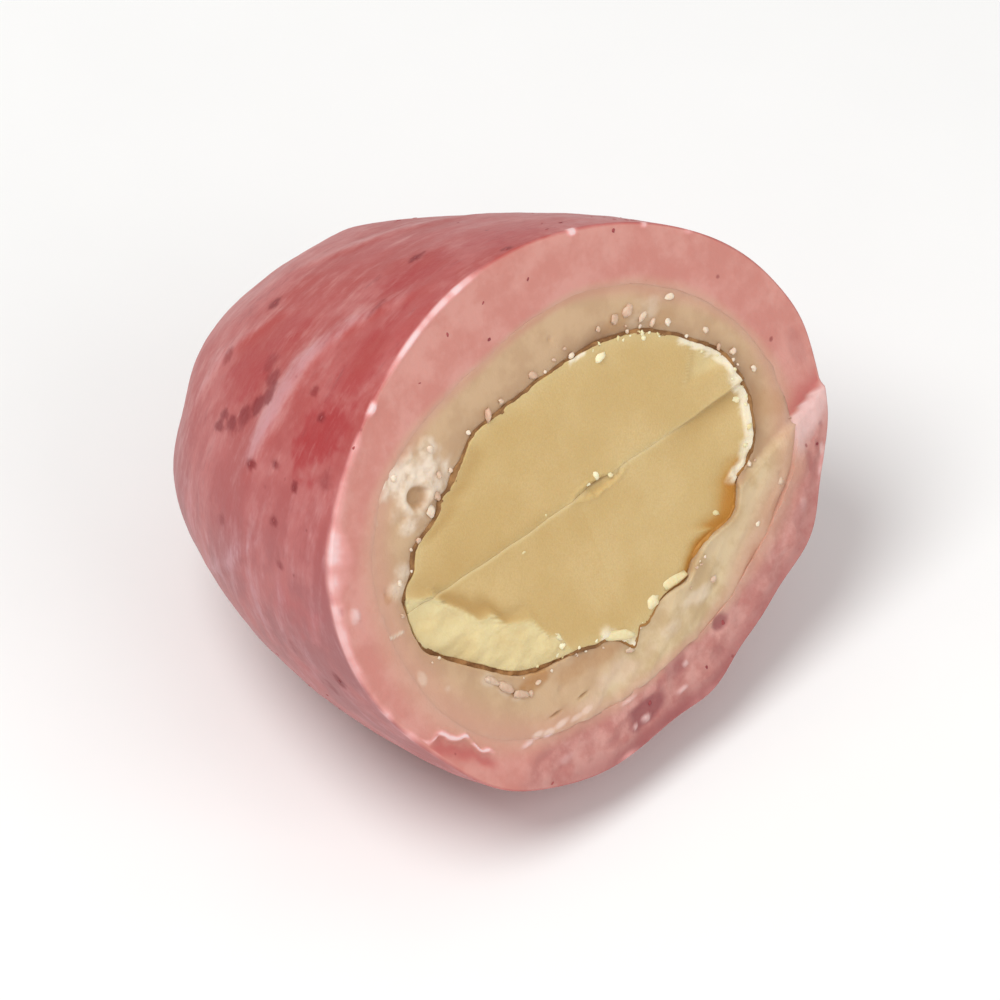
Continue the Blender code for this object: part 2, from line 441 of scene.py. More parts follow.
class Paint:
    # a material and the ways to build it up

    def __init__(self, name, values):
        self.material = bpy.data.materials.new(name)
        self.material.use_nodes = True
        self.tree = self.material.node_tree
        self.shader = self.tree.nodes["Principled BSDF"]
        for socket, value in values.items():
            self.shader.inputs[socket].default_value = value
        self.place = self.node("ShaderNodeTexCoord", {}, {}, "Object")

    def node(self, kind, settings, values, output=0):
        made = self.tree.nodes.new(kind)
        for name, value in settings.items():
            setattr(made, name, value)
        for name, value in values.items():
            self.plug(value, made.inputs[name])
        return Wire(self, made.outputs[output])

    def plug(self, value, socket):
        if isinstance(value, Wire):
            self.tree.links.new(value.socket, socket)
        else:
            socket.default_value = value

    def finish(self, **sockets):
        for name, value in sockets.items():
            self.plug(value, self.shader.inputs[name.replace("_", " ")])
        return self.material

    def trait(self, name, output="Fac"):
        return self.node("ShaderNodeAttribute", {"attribute_name": name}, {}, output)

    def clouds(self, place, size, detail=3.0, rough=0.55):
        # noise with features of this size, in the units of place, from about 0.2 to 0.8
        values = {"Vector": place, "Scale": 1 / size, "Detail": detail, "Roughness": rough}
        return self.node("ShaderNodeTexNoise", {}, values)

    def cells(self, place, size, output="Distance"):
        # distance to the nearest of many scattered points, or that point's own random colour
        values = {"Vector": place, "Scale": 1 / size}
        return self.node("ShaderNodeTexVoronoi", {}, values, output)

    def blend(self, first, second, share):
        # the first colour at a share of 0, the second at 1. A mix node's colours are its sockets
        # 6 and 7, and its output 2
        settings = {"data_type": "RGBA", "blend_type": "MIX"}
        return self.node("ShaderNodeMix", settings, {0: share, 6: first, 7: second}, 2)

    def relief(self, height, distance, strength):
        # small bumps that only the shading shows
        values = {"Height": height, "Distance": distance, "Strength": strength}
        return self.node("ShaderNodeBump", {}, values)


# The strawberry coat
coatLook = {
    "columns": 480,
    "wallRows": 132,
    "rimRows": 8,
    "faceRows": 42,
    "insideRows": 9,
    "rimRadius": 0.09,
    "pebbles": (0.55, 31, 0.05),  # of the snapped part, as (size, seed, height)
    # low ridges left by the coating pan, as (angle, turn, height in mm) in degrees along each
    "ridges": (
        ((98, 5, 0.0), (106, 9, 0.05), (115, 14, 0.1), (125, 18, 0.13), (140, 20, 0.1), (158, 24, 0.0)),
        ((112, 30, 0.0), (121, 35, 0.06), (129, 40, 0.07), (140, 43, 0.04), (150, 46, 0.0)),
        ((60, 24, 0.0), (75, 27, 0.05), (92, 33, 0.05), (108, 44, 0.0)),
        ((158, 14, 0.0), (168, 24, 0.05), (176, 33, 0.05), (184, 45, 0.0)),
        ((196, 18, 0.0), (214, 30, 0.07), (236, 37, 0.06), (258, 35, 0.0)),
        ((262, 16, 0.0), (280, 26, 0.06), (300, 30, 0.06), (318, 24, 0.0)),
        ((316, 40, 0.0), (334, 34, 0.06), (352, 28, 0.08), (370, 24, 0.05), (386, 26, 0.0)),
        ((20, 56, 0.0), (44, 50, 0.05), (70, 56, 0.06), (96, 62, 0.0)),
        ((180, 62, 0.0), (214, 56, 0.05), (248, 60, 0.05), (280, 66, 0.0)),
    ),
    # redder patches, as (angle, turn, half the angle, half the turn, strength)
    "blushes": (
        (138, 8, 11, 8, 1.0),
        (122, 7, 14, 7, 0.7),
        (112, 4, 18, 7, 0.5),
        (131, 30, 12, 8, 0.8),
        (120, 27, 9, 6, 0.6),
        (98, 10, 14, 9, 0.7),
        (78, 7, 13, 9, 0.6),
        (80, 20, 10, 8, 0.4),
        (92, 24, 12, 9, 0.4),
        (66, 24, 18, 14, 0.45),
        (172, 10, 9, 9, 0.35),
        (155, 26, 12, 9, 0.35),
        (196, 16, 12, 9, 0.4),
        (238, 24, 30, 14, 0.6),
        (306, 40, 34, 16, 0.6),
        (14, 30, 26, 14, 0.7),
        (44, 62, 40, 12, 0.5),
        (214, 66, 44, 10, 0.5),
    ),
    # swellings of the outside, as (angle, turn, half the angle, half the turn, height in mm)
    "bulges": (
        (70, 45, 9, 8, 0.18),
        (101, 54, 15, 9, -0.3),
        (150, 57, 10, 9, -0.17),
        (171, 50, 10, 10, 0.1),
        (54, 30, 14, 12, -0.07),
    ),
    # dark red smudges, as (angle, turn, half the length, half the width, strength) in degrees
    "smudges": (
        (92.4, 14.9, 2.6, 1.1, 1.0),
        (84, 1.8, 1.8, 0.9, 0.8),
        (112.3, 35.5, 2.4, 1.4, 0.9),
        (109, 11.3, 4.2, 0.8, 0.5),
        (102, 17.4, 3.8, 0.8, 0.5),
        (127.5, 25.8, 3.4, 2.2, 0.5),
        (130.5, 23.8, 3.8, 2.3, 0.7),
        (133.5, 22.6, 4.0, 1.9, 0.9),
        (136.9, 23.8, 3.8, 1.8, 1.0),
        (140.2, 26.3, 3.4, 2.1, 0.9),
        (142.9, 28.8, 2.6, 2.3, 0.9),
        (144.2, 32.4, 1.7, 1.8, 1.0),
        (141.4, 31.8, 1.5, 1.6, 0.9),
        (129, 38.5, 2.6, 1.3, 0.6),
        (148.2, 21.2, 1.5, 1.3, 0.9),
        (146.5, 15.7, 1.5, 1.3, 1.0),
        (149.5, 10.4, 1.2, 1.0, 0.9),
        (156.7, 13.8, 1.4, 1.3, 1.0),
        (135.1, 9.4, 1.3, 1.1, 0.8),
        (130.3, 13.1, 1.6, 1.0, 0.6),
        (162, 27.3, 1.8, 1.2, 0.6),
        (164.4, 12.1, 1.2, 0.9, 0.7),
        (146, 4, 3.0, 2.0, 0.5),
        (187, 6.2, 2.6, 1.3, 1.0),
        (191, 10, 3.0, 0.9, 0.6),
        (183, 14.8, 2.4, 0.8, 0.5),
        (248, 20, 2.4, 0.9, 0.8),
        (276, 34, 2.8, 0.9, 0.7),
        (322, 18, 2.4, 0.9, 0.8),
        (356, 38, 2.8, 0.9, 0.7),
        (24, 22, 2.4, 0.9, 0.8),
    ),
    # the lip that the knife raised along the rim: angle, half its length in degrees, and its
    # height, width and whiteness, which is partly a pale smear and partly a painted highlight
    "lips": (
        (100, 7, 0.02, 0.075, 0.9),
        (114, 8, 0.04, 0.085, 1.0),
        (131, 1.6, 0.06, 0.13, 1.0),
        (140, 5, 0.02, 0.2, 0.5),
        (149, 5, 0.02, 0.2, 0.5),
        (161.5, 7, 0.04, 0.72, 1.0),
        (174, 5, 0.03, 0.24, 0.6),
        (185, 6, 0.03, 0.22, 0.55),
        (193.5, 2.5, 0.04, 0.16, 0.7),
        (202, 2.5, 0.04, 0.12, 0.65),
        (210, 4, 0.02, 0.08, 0.35),
        (68, 1.2, 0.02, 0.1, 0.8),
        (49, 0.9, 0.01, 0.09, 0.5),
        (38, 1.6, 0.02, 0.1, 0.5),
        (-24, 5, 0.02, 0.2, 0.4),
        (-76, 6, 0.0, 0.2, 0.3),
        (-100, 3, 0.0, 0.15, 0.4),
    ),
    "plainLip": (0.06, 0.03),  # its width and whiteness everywhere else
    # the edge of the torn flap, as (x, y)
    "flap": (
        (-8.3, -3.15), (-7.95, -3.8), (-7.5, -3.74), (-7.05, -4.1), (-6.55, -4.53), (-6.3, -4.95),
        (-5.9, -5.3),
    ),
    # dark mauve and frosted patches of the cut, as (x, y, half width, half height, strength)
    "bruises": (
        (-0.35, -7.25, 1.1, 0.65, 1.0),
        (1.3, -6.65, 0.6, 0.45, 0.6),
        (2.8, -7.1, 0.3, 0.5, 0.4),
        (3.2, -6.2, 0.36, 0.3, 0.9),
        (-1.8, -7.3, 0.5, 0.3, 0.4),
        (8.1, -3.4, 0.25, 0.7, 0.4),
        (8.87, -2.51, 0.14, 0.16, 0.9),
        (8.5, -3.0, 0.12, 0.16, 0.8),
        (7.2, -4.9, 0.4, 0.8, 0.3),
        (9.1, 0.2, 0.3, 0.9, 0.25),
        (-9.15, 1.6, 0.16, 0.14, 0.9),
    ),
    "frosts": (
        (1.16, -7.34, 0.3, 0.14, 0.8),
        (1.53, -6.68, 0.13, 0.13, 0.8),
        (-0.44, -7.45, 0.2, 0.16, 1.0),
        (-0.92, -7.44, 0.16, 0.12, 0.6),
        (-0.9, -6.5, 0.45, 0.1, 0.7),
        (-4.75, -5.74, 0.32, 0.14, 0.9),
        (-4.25, -5.68, 0.26, 0.12, 1.0),
        (-3.85, -5.82, 0.28, 0.13, 0.9),
        (-3.35, -5.82, 0.34, 0.13, 1.0),
        (-2.8, -5.95, 0.26, 0.1, 0.8),
        (-2.35, -5.93, 0.2, 0.1, 0.8),
        (-1.0, -5.6, 1.5, 0.45, 0.4),
        (-3.6, -6.9, 0.35, 0.18, 0.4),
        (8.36, -3.92, 0.14, 0.3, 0.8),
        (8.65, -3.3, 0.12, 0.3, 0.7),
        (7.3, -4.4, 0.2, 0.3, 0.4),
        (-8.74, 1.2, 0.22, 0.26, 1.0),
    ),
}


def ridgeHeight(angle, turn):
    # the ridges of the outside, in mm: each is a bell across its own line, steeper on the rim's side
    degrees = np.degrees(angle) % 360
    height = np.zeros(np.broadcast_shapes(angle.shape, turn.shape))
    for ridge in coatLook["ridges"]:
        along, middle, size = np.array(ridge).T
        for shift in (0, 360):
            top = np.interp(degrees + shift, along, middle)
            tall = np.interp(degrees + shift, along, size, left=0, right=0)
            away = (np.degrees(turn) - top) * math.radians(coat["length"])
            steep = np.where(away > 0, 0.75, 0.38)
            height = height + tall * bell(away, steep)
    return height


def patches(angle, turn, places, ragged=0.0):
    # oval patches with soft edges: the strongest wins
    share = np.zeros(np.broadcast_shapes(angle.shape, turn.shape))
    for atAngle, atTurn, wide, tall, strength in places:
        distance = np.hypot(turnsAway(angle, atAngle) / wide, (np.degrees(turn) - atTurn) / tall)
        share = np.maximum(share, strength * (1 - smooth(distance + ragged, 0.35, 1.15)))
    return share


def lipShape(angle):
    # height, width and whiteness of the knife's lip along the rim: the plain lip and a bell for each.
    # The whiteness is partly a pale smear and partly a painted highlight on the rounded rim
    plainWidth, plainWhite = coatLook["plainLip"]
    height = np.full_like(angle, 0.0)
    width = np.full_like(angle, plainWidth)
    white = np.full_like(angle, plainWhite)
    for atAngle, wide, tall, broad, pale in coatLook["lips"]:
        share = bell(turnsAway(angle, atAngle), wide)
        height = height + tall * share
        width = width + (broad - plainWidth) * share
        white = white + pale * share
    return height, width, white


def outsideRelief(points, angle, turn, start):
    # how far the outside stands out beyond its plain shape, fading to nothing at the rim
    inside = smooth(np.degrees(turn - start), 0.3, 4.0)
    height = uneven("outsideWaves", points) + uneven("outsideGrain", points)
    for atAngle, atTurn, wide, tall, size in coatLook["bulges"]:
        away = np.hypot(turnsAway(angle, atAngle) / wide, (np.degrees(turn) - atTurn) / tall)
        height = height + size * bell(away, 1)
    return (height + ridgeHeight(angle, turn)) * inside - lie["inset"]


def plainOutside(angle, turn):
    # the dome without its relief: the coat's wall with the low waves
    return wallPoint(coat, angle, turn, 0, coatSwell(angle, turn))


def outsidePoint(angle, turn, start):
    # the outside with its relief, and the direction in which it faces there
    step = 0.002
    turn = np.clip(turn, 0.001, math.pi / 2 - 2 * step)
    plain = plainOutside(angle, turn)
    around = plainOutside(angle + step, turn) - plain
    along = plain - plainOutside(angle, turn + step)
    facing = np.cross(around, along)
    facing /= np.linalg.norm(facing, axis=-1)[..., None]
    return plain + facing * outsideRelief(plain, angle, turn, start)[..., None], facing


def flapRelief(x, y):
    # a flap of coat torn up at the lower left, with a hollow beneath it: the height of both, the painted
    # reddish shadow in the hollow and the painted highlight on the flap's edge
    points = flatPoints(x, y)
    lineX, lineY = np.array(coatLook["flap"]).T
    ends = smooth(x, lineX[0], lineX[0] + 0.5) * (1 - smooth(x, lineX[-1] - 0.3, lineX[-1] + 0.2))
    below = (np.interp(x, lineX, lineY) + uneven("flapEdge", points) - y) * 0.75
    edge = bell(below + 0.04, 0.075) * smooth(uneven("flapGaps", points), -0.9, -0.3)
    hollow = bell(below - 0.28, 0.22) * smooth(below, 0, 0.08)
    return ends * (0.09 * edge - 0.08 * hollow), ends * hollow, ends * edge


def creaseShares(x, y):
    # beside the crease in the coat: painted shade on the cut just above it, and a painted highlight just
    # below, where the proud step faces the light
    below = cornerDepth(x, y)
    ragged = uneven("creaseEdge", flatPoints(x, y))
    inCoat = smooth(x + ragged, 7.2, 8.0)
    dark = smooth(-below, -0.02, 0.05) * bell(np.minimum(below, 0), 0.5)
    pale = smooth(below, -0.02, 0.05) * (1 - smooth(below + ragged, 0.55, 1.2))
    return inCoat * dark, inCoat * pale


def coatFaceHeight(x, y):
    # the coat's cut: the face, faintly uneven, rough and pebbled where it snapped, lower at the
    # bruises, higher at the frosted patches, and with the flap
    points = flatPoints(x, y)
    broken = snapped(x, y)
    cut = uneven("coatCut", points)
    rough = uneven("coatSnap", points)
    pebbleSize, pebbleSeed, pebbleHeight = coatLook["pebbles"]
    pebble = pebbleHeight * (0.5 - grains(points, pebbleSize, pebbleSeed)[0])
    hollow = 0.07 * spots(x, y, coatLook, "bruises") - 0.06 * spots(x, y, coatLook, "frosts")
    return faceHeight(x, y) + cut + broken * (rough + pebble) - hollow + flapRelief(x, y)[0]


def boundaryEdge(angle, grow=0.0):
    # where coat and chocolate meet on the face, ragged and a little wider where it snapped
    plain = edgePoint(chocolate, angle, 0)
    broken = snapped(plain[..., 0], plain[..., 1])
    ragged = uneven("boundary", plain) + 0.1 * broken * uneven("boundarySnap", plain)
    wider = 0.35 * bell(turnsAway(angle, -20), 11)
    return edgePoint(chocolate, angle, grow + ragged + wider)


def softShare(angle):
    # how far coat and chocolate ran together while warm: most at the left, some at the right
    right = np.maximum(0.9 * bell(turnsAway(angle, -28), 28), 0.3 * bell(turnsAway(angle, 40), 24))
    return np.maximum(bell(turnsAway(angle, 195), 55), right)


def crispShare(angle):
    # 1 where coat and chocolate meet in a crisp line
    return 1 - softShare(angle)


def makeCoat():
    # the coat as one closed surface: its outside from the tip, the rim, the cut and the inside
    angle = roundAngles(coatLook["columns"])
    rimPlain = edgePoint(coat, angle, -lie["inset"])
    edge = faceHeight(rimPlain[..., 0], rimPlain[..., 1])
    radius = coatLook["rimRadius"] * (1 + uneven("rimRadius", rimPlain))
    lipTall, lipWide, lipWhiteAndHighlight = lipShape(angle)
    worn = uneven("lipWear", rimPlain)
    lipTall = lipTall * (1 + 0.5 * worn)
    lipWhiteAndHighlight = np.clip(lipWhiteAndHighlight * (1 + 0.45 * worn), 0, 1)

    # the outside, from just short of the tip to the wall's end under the rim
    start = wallStart(coat, radius + np.maximum(-edge, 0))
    share = np.linspace(1, 0, coatLook["wallRows"])[:, None] * body["nearTip"]
    turn = towardsTip(start, share)
    outside, _ = outsidePoint(angle, turn, start)
    belowRim = (turn - start) * coat["length"]
    outside[..., 2] += np.maximum(edge, 0) * (1 - share) ** 4 + lipTall * bell(belowRim, lipWide + 0.05)

    # the rim: a quarter circle from the wall to the face
    inward = flatPoints(coat["middle"][0] - rimPlain[..., 0], coat["middle"][1] - rimPlain[..., 1])
    inward /= np.linalg.norm(inward, axis=-1)[..., None]
    bend = np.linspace(0, math.pi / 2, coatLook["rimRows"] + 1)[1:, None]
    rim = rimPlain + (radius * (1 - np.cos(bend)))[..., None] * inward
    rim[..., 2] = edge - radius * (1 - np.sin(bend)) + lipTall

    # the face, from the rim's inner side to where the chocolate starts
    inner = boundaryEdge(angle)
    across = np.append(np.linspace(0, 0.998, coatLook["faceRows"])[1:], 1)[:, None]
    face = rim[-1] + (inner - rim[-1]) * across[..., None]
    fromRim = np.linalg.norm(face - rim[-1], axis=-1)
    nearRim = 1 - smooth(fromRim, 0.0, 0.5)
    x, y = face[..., 0], face[..., 1]
    level = faceHeight(x, y)
    face[..., 2] = level * (1 - nearRim) + edge * nearRim + (coatFaceHeight(x, y) - level) * (1 - nearRim)
    face[..., 2] += lipTall * bell(fromRim, lipWide) - 0.02 * crispShare(angle) * bell(1 - across, 0.05)

    # the inside, which follows the chocolate and doesn't show, with a crisp edge to the face
    hidden = np.linspace(0.04, body["nearTip"], coatLook["insideRows"])[:, None] ** 1.5
    insideStart = wallStart(chocolate, 0.1 - face[-1, :, 2])
    inside = wallPoint(chocolate, angle, towardsTip(insideStart, hidden), 0.02)
    inside = np.concatenate([face[-1:] - (0, 0, 0.004), inside])
    rings = np.concatenate([outside, rim, face, inside])

    def fill(wall, rimValue, faceValue):
        # the hidden inside carries on with the values of the face's last row
        columns = rings.shape[1]
        faceRows = np.broadcast_to(faceValue, (len(face), columns))
        parts = ((wall, outside), (rimValue, rim), (faceRows, face), (faceRows[-1:], inside))
        return np.concatenate([np.broadcast_to(value, (len(part), columns)) for value, part in parts])

    _, flapShadow, flapEdge = flapRelief(x, y)
    creaseShade, creaseHighlight = creaseShares(x, y)
    fromInner = (1 - across) * np.linalg.norm(inner - rim[-1], axis=-1)
    spotty = np.clip(1 + uneven("frostSpots", face), 0.2, 1.4)
    ragged = uneven("smudgeEdge", outside)
    # painted shade along the rim at the bottom, and painted mauve shade on the outside there and at the left
    bottomShade = 0.95 * bell(turnsAway(angle, -90), 27) + 0.5 * bell(turnsAway(angle, -45), 28)
    sideShade = bell(turnsAway(angle, 184), 32) + 0.9 * bell(turnsAway(angle, -62), 66)
    blushAndShade = patches(angle, turn, coatLook["blushes"], 0.5 * ragged)
    smudge = patches(angle, turn, coatLook["smudges"], 0.7 * ragged)
    bruiseAndShade = np.maximum(spots(x, y, coatLook, "bruises"), bottomShade * bell(fromRim, 0.45))
    # the frosted patches, and the painted highlight just below the crease
    frosts = np.maximum(spots(x, y, coatLook, "frosts") * spotty, 0.95 * creaseHighlight)
    traits = {
        "cut": fill(0, 1 - np.cos(bend), 1),
        # redder patches on the outside; on the cut, painted shadow in the flap's hollow and above the crease
        "blushAndShade": fill(blushAndShade, 0, np.maximum(flapShadow, creaseShade)),
        "smudge": fill(smudge, 0, 0),
        # the dark mauve patches of the cut, and painted shade along the rim at the bottom
        "bruiseAndShade": fill(0, bottomShade, bruiseAndShade),
        "frost": fill(0, frosts[0], frosts),
        "sideShade": fill(sideShade, sideShade, 0),
        "ridge": fill(np.clip(ridgeHeight(angle, turn) / 0.1, 0, 1), 0, 0),
        # pale smear and painted highlight along the rim, and the painted highlight on the flap's edge
        "lip": fill(
            lipWhiteAndHighlight * bell(belowRim, 0.05 + 0.35 * lipWide),
            lipWhiteAndHighlight,
            np.maximum(lipWhiteAndHighlight * (0.75 + 0.25 * spotty) * bell(fromRim, lipWide), flapEdge),
        ),
        "cream": fill(0, 0, creamShare(angle, fromInner)),
        "snap": fill(0, snapped(x[:1], y[:1]), snapped(x, y)),
        "flow": flowPlace(rings, angle),
    }
    mesh = closedRings("strawberryCoat", rings, traits)
    addPiece("strawberryCoat", mesh, coatPaint(), ["strawberry_coat"])


def creamShare(angle, fromInner):
    # how much of the chocolate's cream shows in the coat near it
    return 0.5 * (1 - smooth(fromInner, 0, 0.25 + 0.8 * softShare(angle)))


def flowPlace(rings, angle):
    # a place for streaks that run round the dome: slow round the axis, quick along the depth
    length = np.linalg.norm(np.diff(rings, axis=0, prepend=rings[:1]), axis=-1).cumsum(0)
    around = np.broadcast_to(angle, rings.shape[:2])
    return np.stack([2.9 * np.cos(around), 2.9 * np.sin(around), length], -1)


def coatPaint():
    # soft, faintly glossy pink: the colours of the outside and of the cut, told apart by "cut"
    paint = Paint(
        "strawberryCoat",
        {
            "Subsurface Weight": 0.2,
            "Subsurface Radius": (1.0, 0.42, 0.36),
            "Subsurface Scale": 0.0005,
            "Specular IOR Level": 0.32,
            "Coat Roughness": 0.25,
            "IOR": 1.44,
        },
    )
    flow = paint.trait("flow", "Vector")
    place = paint.place
    streaks = paint.clouds(flow, 0.55, 5, 0.62)
    broadStreaks = paint.clouds(flow, 1.7, 3, 0.5)
    brushed = paint.clouds(flow, 0.2, 4, 0.6)
    mottle = paint.clouds(place, 1.4 * mm, 4, 0.6)
    fine = paint.clouds(place, 0.25 * mm, 3, 0.6)

    # the outside: rose, painted mauve shade at its sides, red patches, dark smudges, pale bloom
    # and painted sheen on the ridges
    # painted shade: the outside turns mauve at its lower and left sides
    rose = paint.blend(tone(176, 76, 72), tone(164, 96, 97), paint.trait("sideShade"))
    paler = (mottle * 0.4 + broadStreaks * 0.6).eased(0.42, 0.6)
    rose = paint.blend(rose, tone(192, 109, 106), paler * 0.7)
    redder = (paint.trait("blushAndShade") + (mottle * 0.6 + streaks * 0.4 - 0.5) * 2.6).eased(0.15, 1.2)
    outside = paint.blend(rose, tone(167, 43, 46), redder * 0.9)
    # pale bloom in streaks, and painted sheen on the ridges
    bloomAndSheen = streaks * 0.5 + mottle * 0.3 + brushed * 0.2 + paint.trait("ridge") * 0.2
    bloomAndSheen = (bloomAndSheen - paint.trait("blushAndShade") * 0.05).eased(0.46, 0.76)
    paleMauve = (paint.trait("sideShade") + paint.trait("ridge") * 0.6).eased(0.0, 1.0)
    pale = paint.blend(tone(212, 148, 142), tone(204, 156, 162), paleMauve)
    outside = paint.blend(outside, pale, bloomAndSheen * 0.75)
    dark = (broadStreaks * 0.5 + brushed * 0.5).eased(0.54, 0.8)
    outside = paint.blend(outside, tone(132, 34, 38), dark * 0.6)
    smudged = (paint.trait("smudge") + (fine - 0.5) * 0.4).eased(0.0, 0.95)
    outside = paint.blend(outside, tone(130, 24, 30), smudged * 0.85)

    # the cut: a warmer, paler pink, mauve where it snapped, creamier by the chocolate
    face = paint.blend(tone(202, 134, 123), tone(211, 150, 139), mottle.eased(0.4, 0.65))
    flecks = paint.clouds(place, 0.5 * mm, 4, 0.65)
    mixed = (mottle * 0.6 + flecks * 0.4).eased(0.4, 0.6)
    torn = paint.blend(tone(184, 120, 113), tone(206, 152, 143), mixed)
    face = paint.blend(face, torn, paint.trait("snap") * 0.9)
    face = paint.blend(face, tone(206, 168, 140), paint.trait("cream"))
    # dark mauve patches of the cut, and painted shade along the rim at the bottom
    face = paint.blend(face, tone(144, 72, 76), paint.trait("bruiseAndShade") * (0.45 + flecks * 0.6))
    # frosted patches, and the painted highlight just below the crease
    face = paint.blend(face, tone(228, 192, 188), paint.trait("frost") * (0.6 + fine * 0.4))
    # painted shade: reddish shadow in the flap's hollow and just above the crease
    face = paint.blend(face, tone(186, 94, 90), paint.trait("blushAndShade") * 0.75)
    colour = paint.blend(outside, face, paint.trait("cut"))
    # the knife's lip: pale smear and painted highlight
    lipToneAndHighlight = paint.blend(tone(234, 168, 164), tone(238, 206, 206), paint.trait("lip").eased(0.45, 0.95))
    colour = paint.blend(colour, lipToneAndHighlight, paint.trait("lip").eased(0.05, 0.8) * 0.9)

    # tiny fruit specks in the coat
    speck = paint.cells(place, 0.62 * mm)
    chance = paint.node("ShaderNodeSeparateColor", {}, {"Color": paint.cells(place, 0.62 * mm, "Color")})
    dots = (1 - (speck + fine * 0.3).eased(0.17, 0.3)) * chance.eased(0.8, 0.84)
    colour = paint.blend(colour, tone(128, 36, 42), dots * 0.6)

    gloss = 0.4 + fine * 0.16 + paint.trait("cut") * 0.1 - paint.trait("lip") * 0.12
    height = fine * 0.5 + paint.clouds(place, 0.09 * mm, 2, 0.5) * 0.2 + streaks * 0.4
    return paint.finish(
        Base_Color=colour,
        Roughness=gloss,
        Coat_Weight=0.14 - paint.trait("cut") * 0.12,
        Normal=paint.relief(height, 0.05 * mm, 0.5),
    )


# The white chocolate
chocolateLook = {
    "columns": 600,
    "wallRows": 9,
    "faceRows": 62,
    "edgeRadius": 0.03,
    "lumps": (0.34, 85, 0.08),  # of the crumbly patches, as (size, seed, height)
    # the brown skin's groove between kernel and chocolate, as (degrees, width)
    "skinRoom": (
        (-180, 0.13), (-158, 0.14), (-140, 0.12), (-122, 0.1), (-104, 0.07), (-70, 0.07), (-58, 0.03),
        (-28, 0.02), (-18, 0.07), (12, 0.09), (40, 0.07), (58, 0.08), (72, 0.06), (95, 0.05), (118, 0.05),
        (136, 0.06), (140.5, 0.15), (146, 0.08), (160, 0.11), (168, 0.11), (180, 0.13),
    ),
    # patches of the cut, as (x, y, half width, half height, strength): where it crumbled under
    # the knife, and where the nut's oil stained it
    "crumblyPatches": (
        (-5.2, 3.8, 1.5, 1.3, 1.0),
        (-4.4, 4.4, 0.5, 0.55, 1.0),
        (-6.2, 4.35, 0.5, 0.3, 0.9),
        (-5.9, 2.7, 0.55, 0.36, 0.8),
        (-4.55, 3.3, 0.6, 0.45, 0.9),
        (-6.6, 1.5, 0.32, 0.34, 0.6),
        (-7.05, 1.1, 0.32, 0.34, 0.7),
        (-7.33, -1.86, 0.18, 0.3, 0.4),
        (-6.6, -2.6, 0.18, 0.18, 0.4),
        (-5.2, -3.2, 0.26, 0.3, 0.4),
        (-4.75, -3.75, 0.3, 0.26, 0.5),
        (-4.2, -4.25, 0.36, 0.24, 0.5),
        (2.7, -4.9, 0.7, 0.3, 0.5),
        (1.3, -5.3, 0.5, 0.3, 0.4),
        (4.4, 4.0, 0.9, 0.5, 0.35),
    ),
    "stains": (
        (-3.65, -4.15, 0.66, 0.36, 1.15),
        (-2.2, -4.62, 1.0, 0.34, 0.6),
        (-0.9, -4.72, 0.9, 0.34, 0.6),
        (3.6, 4.25, 0.9, 0.3, 0.6),
        (4.9, 3.5, 0.5, 0.3, 0.4),
        (7.3, -0.9, 0.9, 0.7, 0.5),
        (-7.45, 1.05, 0.18, 0.18, 0.6),
    ),
    # slits torn in the snapped part, as (x, y, half length, half width, turn in degrees)
    "slits": ((-2.28, -5.46, 0.2, 0.045, 4), (-3.38, -5.46, 0.24, 0.045, -2)),
    "airHole": (-5.29, 3.33, 0.42, 0.2),  # as (x, y, radius, depth)
    "scratch": ((-8.2, 0.05), (-7.75, -0.12), (-7.3, -0.16)),
    # small pits, as (x, y, radius, depth)
    "pits": (
        (-7.4, 1.2, 0.12, 0.07),
        (3.4, -5.0, 0.14, 0.08),
        (6.9, -3.1, 0.12, 0.06),
        (1.0, 5.1, 0.1, 0.05),
        (-2.9, -4.9, 0.14, 0.07),
        (5.4, 4.0, 0.12, 0.06),
    ),
}


def kernelEdge(angle, grow):
    # the kernel's outline with its small chips and the point at the bottom
    nicks = 0
    for atDegrees, wide, size in kernelLook["nicks"]:
        nicks = nicks + size * bell(turnsAway(angle, atDegrees), wide)
    plain = edgePoint(kernel, angle, 0)
    return edgePoint(kernel, angle, grow + nicks + uneven("kernelEdge", plain))


def kernelWall(angle, turn, grow):
    # the kernel's wall, which keeps the outline's chips near the cut and loses them further in
    chipped = kernelEdge(angle, grow) - edgePoint(kernel, angle, grow)
    return wallPoint(kernel, angle, turn, grow) + chipped * bell(turn, 0.25)[..., None]


def scratchShare(x, y):
    # 1 along the scratch's line, fading to its sides and its ends
    lineX, lineY = np.array(chocolateLook["scratch"]).T
    ends = smooth(x, -8.25, -8.1) * (1 - smooth(x, -7.4, -7.25))
    return ends * bell(y - np.interp(x, lineX, lineY), 0.05)


def slitShare(x, y):
    # 1 along the slits, which lie at a turn and thin out to their ends
    share = 0 * x
    for atX, atY, long, wide, degrees in chocolateLook["slits"]:
        cosine, sine = math.cos(math.radians(degrees)), math.sin(math.radians(degrees))
        along = (x - atX) * cosine + (y - atY) * sine
        aside = (y - atY) * cosine - (x - atX) * sine
        share = np.maximum(share, bell(along, long) * bell(aside, wide))
    return share


def holeDistance(x, y):
    # from the middle of the air hole, 1 at its edge, which is a little uneven
    atX, atY, size, _ = chocolateLook["airHole"]
    return np.hypot(x - atX, y - atY) / size + uneven("holeEdge", flatPoints(x, y))


